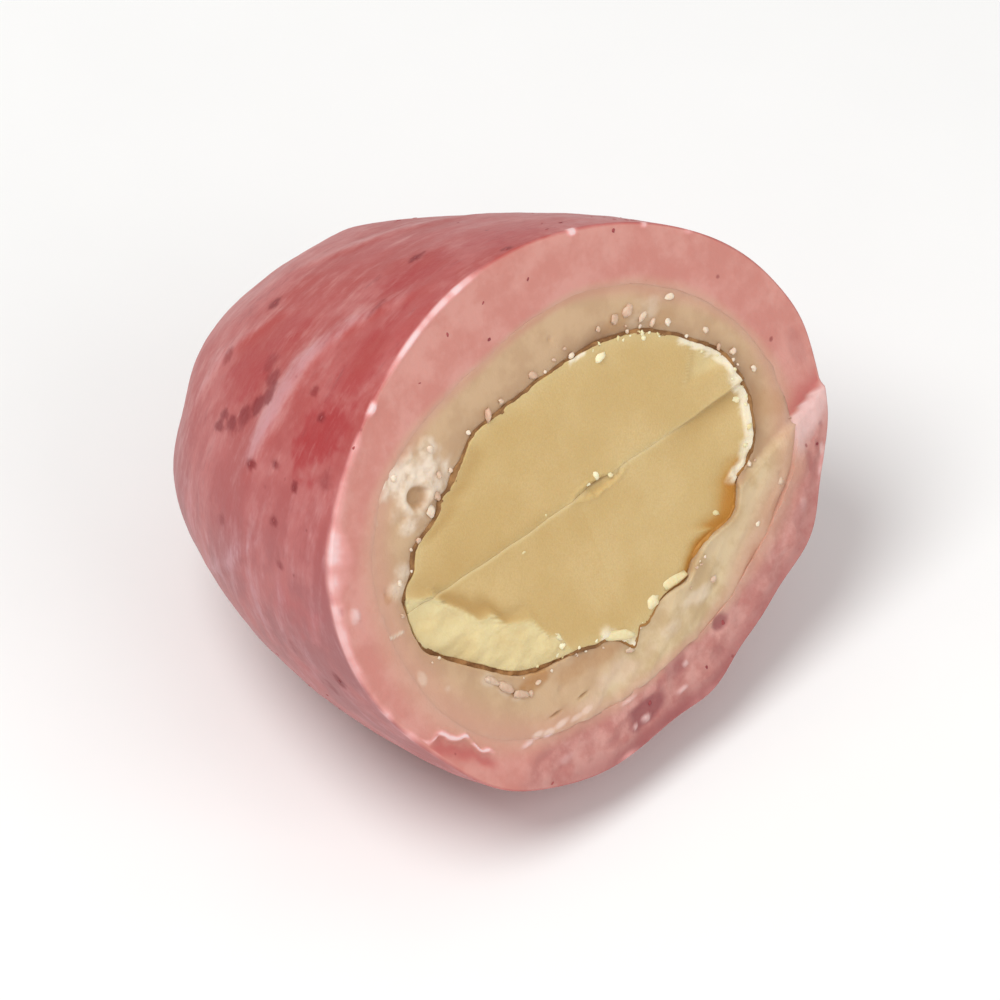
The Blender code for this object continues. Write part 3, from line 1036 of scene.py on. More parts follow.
def chocolateHeight(x, y):
    # the chocolate's cut: the face, faintly uneven, lumpy in the crumbly patches, with low ridges
    # that run up to the right where it snapped, less the air hole, the slits and the pits
    points = flatPoints(x, y)
    crumbly = spots(x, y, chocolateLook, "crumblyPatches")
    broken = snapped(x, y)
    cut = uneven("chocolateCut", points)
    lumpSize, lumpSeed, lumpHeight = chocolateLook["lumps"]
    lump, own = grains(points, lumpSize, lumpSeed)
    crumbs = lumpHeight * (0.55 - lump) * (0.4 + own) + uneven("chocolateCrumbly", points)
    along, aside = 0.8 * x + 0.6 * y, 0.8 * y - 0.6 * x
    ridges = uneven("chocolateSnap", flatPoints(0.4 * along, 1.5 * aside))
    height = faceHeight(x, y) + cut + crumbly * (0.04 + crumbs) + broken * ridges
    away = holeDistance(x, y)
    holeDepth = chocolateLook["airHole"][3]
    height = height - holeDepth * (1 - smooth(away, 0.45, 1.05)) + 0.06 * bell(away - 1.3, 0.3)
    height = height - 0.09 * slitShare(x, y)
    for atX, atY, size, depth in chocolateLook["pits"]:
        height = height - depth * bell(np.hypot(x - atX, y - atY), size)
    return height + 0.05 * scratchShare(x, y)


def skinRoom(angle):
    # how wide the dark groove between kernel and chocolate is
    degrees, width = np.array(chocolateLook["skinRoom"]).T
    wobble = uneven("skinRoom", edgePoint(kernel, angle, 0))
    return np.interp(turnsAway(angle, 0), degrees, width) * (1 + wobble)


def hiddenShares(rows, first):
    # how far towards the tip each row of a hidden wall lies, closer together near the cut
    return np.linspace(body["nearTip"], first, rows)[:, None] ** 1.5


def makeChocolate():
    # the chocolate as one closed surface: its outside from the tip, the cut and the inside
    angle = roundAngles(chocolateLook["columns"])
    outer = boundaryEdge(angle, 0.06)
    inner = kernelEdge(angle, skinRoom(angle))
    across = np.linspace(0, 1, chocolateLook["faceRows"])[:, None]
    face = outer + (inner - outer) * across[..., None]
    face[..., 2] = chocolateHeight(face[..., 0], face[..., 1])
    width = np.linalg.norm(inner - outer, axis=-1)
    fromOuter = across * width
    fromInner = (1 - across) * width
    rounding = chocolateLook["edgeRadius"]
    face[..., 2] -= 0.005 + 0.014 * crispShare(angle) * bell(fromOuter, 0.05)
    face[..., 2] -= dipShare(angle) * 0.16 * bell(fromInner, 0.6)
    face[..., 2] -= rounding * bell(fromInner, rounding)

    share = hiddenShares(chocolateLook["wallRows"], 0.02)
    outsideStart = wallStart(chocolate, 0.05 - face[0, :, 2])
    outside = wallPoint(chocolate, angle, towardsTip(outsideStart, share), 0.06)
    insideStart = wallStart(kernel, 0.08 - face[-1, :, 2])
    inside = kernelWall(angle, towardsTip(insideStart, share[::-1]), skinRoom(angle) + 0.02)
    rings = np.concatenate([outside, face, inside])

    def fill(faceValue):
        # the hidden walls carry on with the values of the face's first and last row
        return np.concatenate([
            np.broadcast_to(faceValue[:1], outside.shape[:2]),
            faceValue,
            np.broadcast_to(faceValue[-1:], inside.shape[:2]),
        ])

    x, y = face[..., 0], face[..., 1]
    traits = {
        "pink": fill(pinkShare(angle, fromOuter)),
        "crumbly": fill(np.maximum(spots(x, y, chocolateLook, "crumblyPatches"), scratchShare(x, y))),
        "frost": fill(spots(x, y, coatLook, "frosts")),
        # painted shade inside the air hole and the slits
        "holeShade": fill(np.maximum(1 - smooth(holeDistance(x, y), 0.6, 1.05), slitShare(x, y))),
        "snap": fill(snapped(x, y)),
        "skinShade": fill(bell(fromInner, 0.4) * skinShadeShare(angle)),
        # painted shade in the groove along the coat's border at the top
        "seamShadeAndHighlight": fill(bell(fromOuter - 0.1, 0.12) * bell(turnsAway(angle, 75), 34)),
        "stain": fill(spots(x, y, chocolateLook, "stains")),
    }
    mesh = closedRings("whiteChocolate", rings, traits)
    addPiece("whiteChocolate", mesh, chocolatePaint(), ["white_chocolate"])


def dipShare(angle):
    # how far the chocolate dips towards the skin: most at the upper right and the right, some at
    # the upper left, and a little everywhere
    right = np.maximum(bell(turnsAway(angle, 58), 16), bell(turnsAway(angle, 0), 16))
    return 0.2 + 0.5 * np.maximum(0.6 * bell(turnsAway(angle, 125), 36), right)


def skinShadeShare(angle):
    # how much painted shade darkens the chocolate beside the skin: most at the top right and at the right
    right = np.maximum(bell(turnsAway(angle, 54), 20), bell(turnsAway(angle, -4), 18))
    return 0.3 + 0.7 * right


def pinkShare(angle, fromOuter):
    # how pink the chocolate is beside the coat: further in where the two ran together
    soft = softShare(angle)
    return (0.5 + 0.1 * soft) * (1 - smooth(fromOuter, 0.03, 0.35 + 1.2 * soft))


def chocolatePaint():
    # soft cream with pale, pink, crumbled and oily places, and painted shade beside the skin, in the
    # air hole and slits and along the coat's border, each by its trait
    paint = Paint(
        "whiteChocolate",
        {
            "Subsurface Weight": 0.25,
            "Subsurface Radius": (1.0, 0.72, 0.42),
            "Subsurface Scale": 0.0008,
            "IOR": 1.46,
        },
    )
    place = paint.place
    mottle = paint.clouds(place, 1.1 * mm, 4, 0.55)
    fine = paint.clouds(place, 0.2 * mm, 3, 0.6)
    cream = paint.blend(tone(193, 158, 123), tone(203, 170, 134), mottle.eased(0.38, 0.62))
    mixed = (mottle * 0.85 + fine * 0.15).eased(0.4, 0.6)
    pale = paint.blend(tone(198, 171, 129), tone(216, 194, 156), mixed)
    cream = paint.blend(cream, pale, paint.trait("snap") * 0.85)
    cream = paint.blend(cream, tone(207, 147, 133), paint.trait("pink"))
    flecks = paint.clouds(place, 0.5 * mm)
    crumbled = paint.blend(tone(206, 180, 152), tone(234, 217, 198), flecks.eased(0.3, 0.6))
    cream = paint.blend(cream, crumbled, paint.trait("crumbly") * 0.85)
    cream = paint.blend(cream, tone(232, 202, 186), paint.trait("frost") * 0.8)
    # painted shade beside the skin's groove
    cream = paint.blend(cream, tone(136, 98, 70), paint.trait("skinShade") * 0.6)
    # painted shade along the coat's border at the top
    cream = paint.blend(cream, tone(184, 124, 96), paint.trait("seamShadeAndHighlight") * 0.3)
    cream = paint.blend(cream, tone(174, 122, 68), paint.trait("stain") * (0.35 + fine * 0.5))
    # painted shade inside the air hole and the slits
    cream = paint.blend(cream, tone(176, 136, 94), paint.trait("holeShade") * 0.85)
    height = fine * 0.5 + paint.clouds(place, 0.06 * mm, 2, 0.5) * 0.25
    return paint.finish(
        Base_Color=cream,
        Roughness=0.5 + fine * 0.2,
        Normal=paint.relief(height, 0.03 * mm, 0.5),
    )


# The almond: its skin and its two seed leaves
kernelLook = {
    "skinColumns": 600,
    "skinRows": 12,
    "skinOverlap": (0.03, -0.06),  # how far the skin reaches beyond the groove and under the leaves
    "arcColumns": 320,
    "seamColumns": 170,
    "wallRows": 12,
    "faceRows": 62,
    "seamGap": 0.002,
    "edgeRadius": 0.035,
    "pebbles": (0.5, 127, 0.07),  # of the broken patch, as (size, seed, height)
    # chips and points of the outline, as (angle, half width, size in mm)
    "nicks": (
        (-90, 3.0, 0.42),
        (-84.5, 1.6, -0.12),
        (-99, 4.0, -0.14),
        (-113, 4.0, -0.08),
        (148, 14.0, -0.42),
        (134, 6.0, -0.12),
        (176, 12.0, -0.2),
        (150, 3.0, 0.2),
        (163.5, 4.0, 0.16),
        (170, 2.5, -0.08),
        (175.5, 3.5, 0.17),
        (190, 4.0, 0.1),
        (-2, 5.0, 0.2),
        (-17, 6.0, 0.18),
        (-26, 3.5, -0.28),
        (-37, 4.0, 0.17),
        (-60, 4.5, 0.22),
        (-45, 9.0, -0.3),
        (-73, 5.0, -0.1),
        (-8, 7.0, 0.14),
        (9, 6.0, 0.16),
    ),
    # the inner edges of the broken patches: at the lower left, and at the upper right
    "band": (
        (-7.4, 1.0), (-5.85, 0.1), (-5.1, -0.9), (-4.75, -1.35), (-4.3, -1.4), (-3.9, -2.05), (-3.0, -2.4),
        (-2.65, -3.1), (-2.3, -3.4), (-1.9, -4.8),
    ),
    "chipTop": ((5.8, 3.1), (5.6, 2.4), (5.4, 1.9), (4.85, 1.15), (5.7, 0.6), (6.3, 0.3)),
    "dimple": (0.85, 0.14, 0.6, 0.12),  # as (x, y, half width, depth)
}


def seamHeight(x):
    # the line on which the two seed leaves meet
    return kernel["middle"][1] + 0.03 * np.sin(0.9 * x + 0.4) + 0.012 * np.sin(3.7 * x)


def bandDepth(x, y):
    # how far a point lies beyond the broken edge at the kernel's lower left
    lineX, lineY = np.array(kernelLook["band"]).T
    ragged = uneven("bandEdge", flatPoints(x, y))
    return (np.interp(x, lineX, lineY) + ragged - y) * 0.72 * (x < 0)


def chipDepth(x, y):
    # and how far beyond the broken edge at its upper right
    lineY, lineX = np.array(kernelLook["chipTop"])[::-1, ::-1].T
    ragged = uneven("chipEdge", flatPoints(x, y))
    return (x - np.interp(y, lineY, lineX) + ragged) * 0.85 * (y > 0)


def edgeBand(x, y, fromAngle, toAngle, width):
    # 1 along the kernel's outline between two angles, fading within this width and at the ends
    angle = np.arctan2(y - kernel["middle"][1], x - kernel["middle"][0])
    edge = kernelEdge(angle, 0)
    away = np.hypot(edge[..., 0] - x, edge[..., 1] - y)
    around = turnsAway(angle, (fromAngle + toAngle) / 2)
    half = (toAngle - fromAngle) / 2
    return (1 - smooth(away / width, 0.1, 1)) * (1 - smooth(np.abs(around) / half, 0.7, 1))


def amberShare(x, y):
    # roasted darker along the edge at the lower right
    ragged = uneven("amberEdge", flatPoints(x, y))
    below = 0.9 * edgeBand(x, y, -64, -30, 0.5 + ragged)
    return np.maximum(edgeBand(x, y, -44, -17, 1.25 + ragged), below)


def whiteShare(x, y):
    # the flaked white strip at the right end, and small ones at the top and at the bottom's point
    ragged = uneven("whiteEdge", flatPoints(x, y))
    ends = np.maximum(edgeBand(x, y, -104, -87, 0.44 + ragged), edgeBand(x, y, 62, 72, 0.26 + ragged))
    strip = np.maximum(edgeBand(x, y, -29, 6, 0.6 + ragged), edgeBand(x, y, -6, 27, 0.36 + ragged))
    return np.maximum(smooth(strip, 0.1, 0.6), ends)


def shadeShare(x, y, side):
    # the darker tan inside the broken edge, below the seam at the right and above it at the left
    above = y - seamHeight(x)
    if side > 0:
        leftEnd = 0.6 * smooth(-x, 3.2, 5.2) * bell(above, 1.3)
        upper = np.maximum(leftEnd, 1.2 * edgeBand(x, y, 126, 166, 0.9))
        return np.maximum(upper, 0.6 * smooth(-x, -0.5, 2.5) * bell(above, 0.34))
    inside = bell(bandDepth(x, y) + 0.22, 0.34) * smooth(-x, 3.0, 4.2) * (bandDepth(x, y) < 0.03)
    wedge = smooth(x, 2.5, 6.0) * bell(above + 0.1, 0.55)
    return np.maximum(1.3 * inside, 1.2 * wedge)


def crackShadeShare(x, y):
    # painted shade in the crack by the dimple, and along the end of the seam at the right
    dimpleX, _, size, _ = kernelLook["dimple"]
    fromSeam = np.abs(y - seamHeight(x) + 0.02)
    return bell(fromSeam, 0.045) * np.maximum(bell(x - dimpleX, size), 0.8 * smooth(x, 3.5, 5.5))


def chipShare(x, y):
    # how deep the flaked patch at the upper right is, fading to nothing towards the seam
    return np.maximum(chipDepth(x, y), 0) * smooth(y, 0.9, 1.5)


def kernelHeight(x, y, side):
    # a leaf's cut: faintly uneven, rough where it is white, falling away beyond the two broken
    # edges, with the knife's lip before the first, and the dimple. Side is 1 above the seam and -1
    # below it, where the leaf also sinks at the right and where it is amber
    points = flatPoints(x, y)
    fromSeam = np.abs(y - seamHeight(x))
    flakes = 0.06 * whiteShare(x, y) * uneven("kernelWhite", points)
    grain = uneven("kernelCut", points) - 0.008 * bell(fromSeam, 0.08) + flakes
    fromBand = bandDepth(x, y)
    band = np.maximum(fromBand, 0)
    rough = uneven("kernelRough", points)
    pebbleSize, pebbleSeed, pebbleHeight = kernelLook["pebbles"]
    pebble = pebbleHeight * (0.5 - grains(points, pebbleSize, pebbleSeed)[0])
    flaked = uneven("kernelFlaked", points) + pebble
    slope = -0.17 * band - 0.04 * smooth(band, 0, 0.12) + flaked * smooth(band, 0.05, 0.3)
    lip = 0.05 * (1 + 0.8 * rough) * bell(fromBand - 0.02, 0.09) - 0.07 * bell(fromBand + 0.26, 0.2)
    lip = lip * smooth(-x, 1.8, 3.4)
    chip = chipShare(x, y)
    broken = -0.1 * chip - 0.02 * smooth(chip, 0, 0.1) + 0.03 * rough * smooth(chip, 0, 0.3)
    atX, atY, size, depth = kernelLook["dimple"]
    away = np.hypot((x - atX) / size, (y - atY) / (0.3 * size)) + uneven("dimpleEdge", points)
    dimple = -depth * (1 - smooth(away, 0.2, 1.3)) + 0.03 * bell(away - 1.3, 0.4) * (1 + rough)
    height = grain + slope + lip + broken + dimple
    if side < 0:
        height = height - 0.16 * smooth(x, 3.0, 6.2) * bell(fromSeam, 0.9)
        height = height - 0.12 * amberShare(x, y) + 0.016 * (1 - smooth(x, -1, 4)) * bell(fromSeam, 0.5)
    return height


def leafHeight(x, y):
    # the height of whichever leaf a point lies on
    below = y < kernel["middle"][1]
    return np.where(below, kernelHeight(x, y, -1), kernelHeight(x, y, 1))


def makeSkin():
    # the skin as one closed surface: its outside from the tip, the narrow top edge and the inside.
    # The top lies just below leaf and face, and higher where it is roasted
    angle = roundAngles(kernelLook["skinColumns"])
    edge = edgePoint(kernel, angle, 0)
    x, y = edge[..., 0], edge[..., 1]
    roasted = bell(turnsAway(angle, -40), 17) + 0.4 * bell(turnsAway(angle, -84), 22)
    top = np.minimum(leafHeight(x, y), faceHeight(x, y)) - 0.03 + uneven("skinTop", edge) + 0.03 * roasted
    beyond, under = kernelLook["skinOverlap"]
    outer = kernelEdge(angle, skinRoom(angle) + beyond)
    inner = kernelEdge(angle, under)
    across = np.linspace(0, 1, 7)[:, None]
    face = outer + (inner - outer) * across[..., None]
    face[..., 2] = top + uneven("skinGrain", face)
    turn = towardsTip(wallStart(kernel, 0.1 - top), hiddenShares(kernelLook["skinRows"], 0.02))
    outside = kernelWall(angle, turn, skinRoom(angle) + beyond)
    inside = kernelWall(angle, turn[::-1], under)
    rings = np.concatenate([outside, face, inside])
    traits = {"amber": np.broadcast_to(roasted, rings.shape[:2])}
    mesh = closedRings("almondSkin", rings, traits)
    addPiece("almondSkin", mesh, skinPaint(), ["almond_skin"])


def onSeam():
    # for each column of a leaf: 0 along the outline and 1 along the seam
    return np.concatenate([np.zeros(kernelLook["arcColumns"]), np.ones(kernelLook["seamColumns"])])


def leafLoop(side, turn):
    # once round one seed leaf at a depth: along the outline, and back along the seam
    bend = np.linspace(0, math.pi, kernelLook["arcColumns"])[None, :]
    if side < 0:
        bend = bend + math.pi
    arc = kernelWall(bend, turn, 0)
    back = np.linspace(0, 1, kernelLook["seamColumns"] + 2)[1:-1, None]
    chord = arc[:, None, -1] * (1 - back) + arc[:, None, 0] * back
    loop = np.concatenate([arc, chord], axis=1)
    seam = seamHeight(loop[..., 0]) - kernel["middle"][1]
    loop[..., 1] += seam * onSeam() + side * kernelLook["seamGap"] / 2
    return loop


def makeLeaf(name, side, node):
    # a leaf as one closed surface: its wall from the tip, a rounded rim that is sharper along the
    # seam, and the cut, drawn in to a middle point
    share = np.linspace(body["nearTip"], 0, kernelLook["wallRows"])[:, None] ** 2
    rimLoop = leafLoop(side, np.zeros((1, 1)))
    edge = kernelHeight(rimLoop[..., 0], rimLoop[..., 1], side)
    radius = kernelLook["edgeRadius"]
    lowest = edge.min() - radius
    wall = leafLoop(side, towardsTip(wallStart(kernel, np.array([[-lowest]])), share))
    middle = np.array([0.0, kernel["middle"][1] + side * 1.9, 0.0])
    inward = middle - rimLoop
    distance = np.linalg.norm(inward, axis=-1)[..., None]
    bend = np.linspace(0, math.pi / 2, 5)[:, None]
    radius = radius * (1 - 0.92 * onSeam())
    rim = rimLoop + (radius * (1 - np.cos(bend)))[..., None] * inward / distance
    # the first row lies close to the rim, so that its rounding doesn't shade the face
    across = np.append(0.003, 1 - np.linspace(1, 0.01, kernelLook["faceRows"])[1:] ** 1.25)[:, None]
    face = rim[-1:] + (middle - rim[-1:]) * across[..., None]
    for part, drop in ((rim, radius * (1 - np.sin(bend))), (face, 0)):
        part[..., 2] = kernelHeight(part[..., 0], part[..., 1], side) - drop
    rings = np.concatenate([wall, rim, face])
    x, y = rings[..., 0], rings[..., 1]
    onTop = rings[..., 2] > lowest - 0.05
    rimDistance = np.concatenate([np.zeros(wall.shape[:2]), 0 * rim[..., 0], across * distance[..., 0]])
    chipEdge = 0.4 * bell(chipDepth(x, y), 0.05) * smooth(y, 1.1, 1.3) * (1 - smooth(y, 1.9, 2.2))
    chipped = 0.5 * smooth(chipShare(x, y), 0, 0.5) + chipEdge
    mottled = 0.8 + uneven("kernelMottle", flatPoints(x, y))
    fromBand = bandDepth(x, y)
    band = smooth(fromBand, -0.02, 0.1) * mottled + 0.4 * bell(fromBand - 0.05, 0.1) * (x < -2)
    flaked = np.clip(np.maximum(band, chipped), 0, 1)
    traits = {
        "pale": onTop * flaked,
        "white": onTop * whiteShare(x, y),
        "crackShade": onTop * crackShadeShare(x, y),
        "amber": onTop * (amberShare(x, y) if side < 0 else 0.0 * x),
        "shade": onTop * shadeShare(x, y, side),
        # painted highlight along the seam's edge, fainter on the upper leaf
        "seamShadeAndHighlight": onTop * bell(y - seamHeight(x), 0.08) * (0.3 if side > 0 else 1.0),
        "outerEdge": onTop * bell(rimDistance, 0.35) * (1 - onSeam()),
    }
    mesh = closedRings(name, rings, traits)
    addPiece(name, mesh, kernelPaint(), [node])


def skinPaint():
    # dull brown, amber where it is roasted
    paint = Paint("almondSkin", {"IOR": 1.4})
    place = paint.place
    mottle = paint.clouds(place, 0.5 * mm, 4, 0.6)
    brown = paint.blend(tone(124, 84, 48), tone(162, 118, 72), mottle.eased(0.4, 0.65))
    brown = paint.blend(brown, tone(194, 138, 66), paint.trait("amber").eased(0.1, 0.8) * 0.95)
    return paint.finish(
        Base_Color=brown,
        Roughness=0.7 + mottle * 0.1,
        Normal=paint.relief(paint.clouds(place, 0.12 * mm), 0.04 * mm, 0.7),
    )


def kernelPaint():
    # tan with painted shade, pale, amber and white places and a painted highlight along the seam, each
    # by its trait: one paint for both leaves
    found = bpy.data.materials.get("almondKernel")
    if found:
        return found
    paint = Paint(
        "almondKernel",
        {
            "Subsurface Weight": 0.22,
            "Subsurface Radius": (1.0, 0.65, 0.3),
            "Subsurface Scale": 0.0007,
            "IOR": 1.46,
        },
    )
    place = paint.place
    mottle = paint.clouds(place, 2.6 * mm, 2, 0.5)
    fine = paint.clouds(place, 0.16 * mm, 3, 0.6)
    cells = paint.cells(place, 0.07 * mm)
    tan = paint.blend(tone(202, 170, 111), tone(210, 180, 124), mottle.eased(0.35, 0.65))
    tan = paint.blend(tan, tone(192, 158, 96), (cells * 0.5 + fine * 0.5).eased(0.35, 0.7) * 0.25)
    tan = paint.blend(tan, tone(184, 146, 84), paint.trait("shade") * 0.7)
    tan = paint.blend(tan, tone(230, 212, 160), paint.trait("pale") * (0.6 + fine * 0.6))
    tan = paint.blend(tan, tone(218, 194, 142), paint.trait("outerEdge") * 0.3)
    tan = paint.blend(tan, tone(198, 144, 60), paint.trait("amber") * 0.9)
    tan = paint.blend(tan, tone(186, 122, 38), paint.trait("amber").eased(0.45, 1.1) * 0.85)
    tan = paint.blend(tan, tone(246, 230, 200), paint.trait("white") * (0.7 + fine * 0.5))
    # painted highlight along the seam
    tan = paint.blend(tan, tone(228, 204, 152), paint.trait("seamShadeAndHighlight") * 0.6)
    # painted shade in the crack and at the seam's right end
    tan = paint.blend(tan, tone(140, 98, 48), paint.trait("crackShade") * 0.7)
    height = cells * 0.5 + fine * 0.6
    return paint.finish(
        Base_Color=tan,
        Roughness=0.48 + fine * 0.2,
        Normal=paint.relief(height, 0.03 * mm, 0.45),
    )


# Crumbs of chocolate and nut along the skin, and fruit specks in the coat
crumbLook = {
    # the larger crumbs, as (x, y, size in mm)
    "chocolate": (
        (-1.95, 4.2, 0.24), (-1.35, 4.3, 0.2), (0.0, 4.42, 0.22), (1.5, 4.24, 0.16), (3.4, 4.4, 0.2),
        (3.9, 4.42, 0.24), (4.35, 3.95, 0.2), (4.6, 3.6, 0.18), (5.5, 4.0, 0.2), (5.1, 3.3, 0.17),
        (6.25, 2.35, 0.2), (6.5, 1.6, 0.15), (7.4, 0.32, 0.14), (6.9, 1.2, 0.14), (3.45, -4.8, 0.2),
        (5.57, -4.1, 0.14), (-5.2, -3.15, 0.12), (-3.95, -4.4, 0.14),
        (-5.0, 2.65, 0.2), (-4.6, 2.95, 0.18), (-4.3, 4.4, 0.16), (-5.8, 4.3, 0.16), (-4.3, 3.5, 0.16),
        (-6.9, 1.25, 0.14),
    ),
    "kernel": (
        (2.4, 3.62, 0.26), (0.84, 0.42, 0.18), (0.5, 0.34, 0.12), (1.34, 0.16, 0.18), (-1.3, 0.3, 0.1),
        (-2.5, -0.3, 0.11), (6.5, -0.3, 0.16), (6.5, -1.2, 0.14), (6.2, -1.7, 0.14), (6.6, 0.4, 0.14),
        (4.1, 3.35, 0.2), (5.9, 1.8, 0.14), (-2.3, -3.7, 0.16),
    ),
    # flat chips, as (x, y, length, width, turn in degrees)
    "chocolateChips": (
        (-5.05, -3.3, 0.6, 0.2, -48),
        (-4.72, -3.72, 0.66, 0.24, -50),
        (-4.3, -4.2, 0.6, 0.22, -38),
        (6.83, -3.3, 0.28, 0.2, 40),
        (-0.19, -5.15, 0.28, 0.16, -20),
    ),
    "kernelChips": (
        (-0.36, -4.5, 1.1, 0.3, -27),
        (2.18, -4.08, 0.84, 0.34, -6),
        (1.2, -4.24, 0.46, 0.4, 20),
        (4.38, -3.0, 0.38, 0.2, -49),
        (-2.35, -3.35, 0.3, 0.14, -60),
    ),
    # fine crumbs: how many lie along the skin, and (from angle, to angle, how many) on the leaves
    "fineCount": 42,
    "fineOnLeaves": ((-12, 60, 18), (-140, -68, 12)),
    "largeGain": 1.4,  # the larger crumbs start this much bigger, as the cuts take some of it
    "chipGain": 0.58,  # half of a chip's length or width, a little more for the cuts
    "chipHeight": 0.7,  # as a share of its width
    "cuts": 6,
    "cutAt": (0.55, 0.95),  # how far from the ball's middle the cuts lie
    "cutShare": 0.7,  # how much of what lies beyond a cut goes
    "flatten": 0.6,
    "sunk": 0.02,  # how deep in the face the crumbs' middles lie
    # fruit specks: on the outside (angle, turn, size), and on the cut face (x, y, size)
    "outsideSpecks": (
        (92.4, 14.9, 0.16), (112.3, 35.5, 0.12), (156.7, 13.8, 0.12), (146.5, 15.7, 0.12),
        (148.2, 21.2, 0.1), (149.5, 10.4, 0.1), (135.1, 9.4, 0.1), (187, 6.2, 0.14), (84, 1.6, 0.14),
    ),
    "faceSpecks": (
        (-0.75, 7.4, 0.13), (-1.0, 6.27, 0.16), (1.0, 7.2, 0.11), (4.4, 6.9, 0.18), (-6.7, 5.85, 0.14),
        (-3.8, 6.4, 0.09), (-7.45, 4.9, 0.13), (-2.3, 7.2, 0.1), (3.3, -6.3, 0.2), (-0.15, -7.05, 0.2),
        (8.87, -2.51, 0.16), (8.5, -3.0, 0.14), (2.2, -7.2, 0.16), (-4.4, -7.3, 0.1),
    ),
    "randomSpecks": 170,
}


def ball(levels):
    # the points and triangles of a ball of radius 1
    shape = bmesh.new()
    bmesh.ops.create_icosphere(shape, subdivisions=levels, radius=1)
    points = np.array([corner.co[:] for corner in shape.verts])
    faces = np.array([[corner.index for corner in face.verts] for face in shape.faces])
    shape.free()
    return points, faces


def turned(points, turns):
    # each group of points turned by its own three angles, about x, then y, then z
    for axis in range(3):
        first, second = (axis + 1) % 3, (axis + 2) % 3
        cosine, sine = np.cos(turns[:, axis, None]), np.sin(turns[:, axis, None])
        across = points[..., first] * cosine - points[..., second] * sine
        upward = points[..., first] * sine + points[..., second] * cosine
        points = points.copy()
        points[..., first] = across
        points[..., second] = upward
    return points


def joined(name, groups, faces, traits):
    # one mesh of many lumps with the same faces: groups is lumps x points x 3, and each trait has
    # one value for each lump
    count, each = groups.shape[:2]
    allFaces = faces[None] + (np.arange(count) * each)[:, None, None]
    mesh = bpy.data.meshes.new(name)
    mesh.from_pydata(toRow(groups.reshape(-1, 3)).tolist(), [], allFaces.reshape(-1, 3).tolist())
    addTraits(mesh, {key: np.repeat(values, each) for key, values in traits.items()})
    return mesh


def lumps(chosen, fineSpots, fineSizes, chips, heights, draw):
    # broken crumbs, the chosen and the fine ones turned at random and the chips lying flat: balls
    # with pieces cut off, a little rough, stretched to their three half lengths and set in the face
    large, flat = np.array(chosen), np.array(chips)
    sizes = np.concatenate([large[:, 2] * crumbLook["largeGain"], fineSizes])
    halves = sizes[:, None] / 2 * draw.uniform(0.6, 1.5, (len(sizes), 3))
    turns = draw.uniform(0, math.tau, (len(sizes), 3))
    flatHalves = np.stack([flat[:, 2], flat[:, 3], crumbLook["chipHeight"] * flat[:, 3]], -1)
    flatHalves = flatHalves * crumbLook["chipGain"]
    flatTurns = np.stack([0 * flat[:, 4], 0 * flat[:, 4], np.radians(flat[:, 4])], -1)
    halves = np.concatenate([halves, flatHalves])[:, None]
    turns = np.concatenate([turns, flatTurns])
    largeSpots, chipSpots = flatPoints(large[:, 0], large[:, 1]), flatPoints(flat[:, 0], flat[:, 1])
    places = np.concatenate([largeSpots, fineSpots, chipSpots])
    places[:, 2] = heights(places[:, 0], places[:, 1]) - crumbLook["sunk"]

    base, faces = ball(2)
    count = len(places)
    points = np.repeat(base[None], count, 0)
    for _ in range(crumbLook["cuts"]):
        facing = draw.normal(0, 1, (count, 3))
        facing /= np.linalg.norm(facing, axis=-1)[:, None]
        over = (points * facing[:, None]).sum(-1) - draw.uniform(*crumbLook["cutAt"], (count, 1))
        points = points - crumbLook["cutShare"] * np.maximum(over, 0)[..., None] * facing[:, None]
    shift = draw.uniform(0, 60, (count, 1, 3))
    rough = 1 + uneven("crumbs", base[None] * 1.3 + shift)
    points = turned(points * rough[..., None] * halves, turns)
    return points * np.array([1, 1, crumbLook["flatten"]]) + places[:, None], faces


def makeCrumbs():
    # two pieces of crumbs: chocolate along the skin, and nut on the leaves' edges and seam
    draw = np.random.default_rng(23)
    count = crumbLook["fineCount"]
    angle = draw.uniform(0, math.tau, count)
    fineSpots = kernelEdge(angle, skinRoom(angle) + np.abs(draw.normal(0.05, 0.18, count)))
    fineSizes = draw.uniform(0.06, 0.14, count)
    chips = crumbLook["chocolateChips"]
    points, faces = lumps(crumbLook["chocolate"], fineSpots, fineSizes, chips, chocolateHeight, draw)
    tints = draw.uniform(0, 1, len(points))
    tints[-len(chips):] *= 0.3  # the flat chips are the darker ones
    mesh = joined("chocolateCrumbs", points, faces, {"tint": tints})
    paint = crumbPaint("chocolateCrumbs", (208, 170, 144), (242, 220, 198))
    addPiece("chocolateCrumbs", mesh, paint)

    angle = np.radians(np.concatenate([draw.uniform(*span) for span in crumbLook["fineOnLeaves"]]))
    fineSpots = kernelEdge(angle, -draw.uniform(-0.02, 0.16, len(angle)))
    fineSizes = draw.uniform(0.06, 0.16, len(angle))
    chips = crumbLook["kernelChips"]
    points, faces = lumps(crumbLook["kernel"], fineSpots, fineSizes, chips, leafHeight, draw)
    mesh = joined("kernelCrumbs", points, faces, {"tint": draw.uniform(0, 1, len(points))})
    paint = crumbPaint("kernelCrumbs", (234, 212, 160), (250, 236, 200))
    addPiece("kernelCrumbs", mesh, paint)


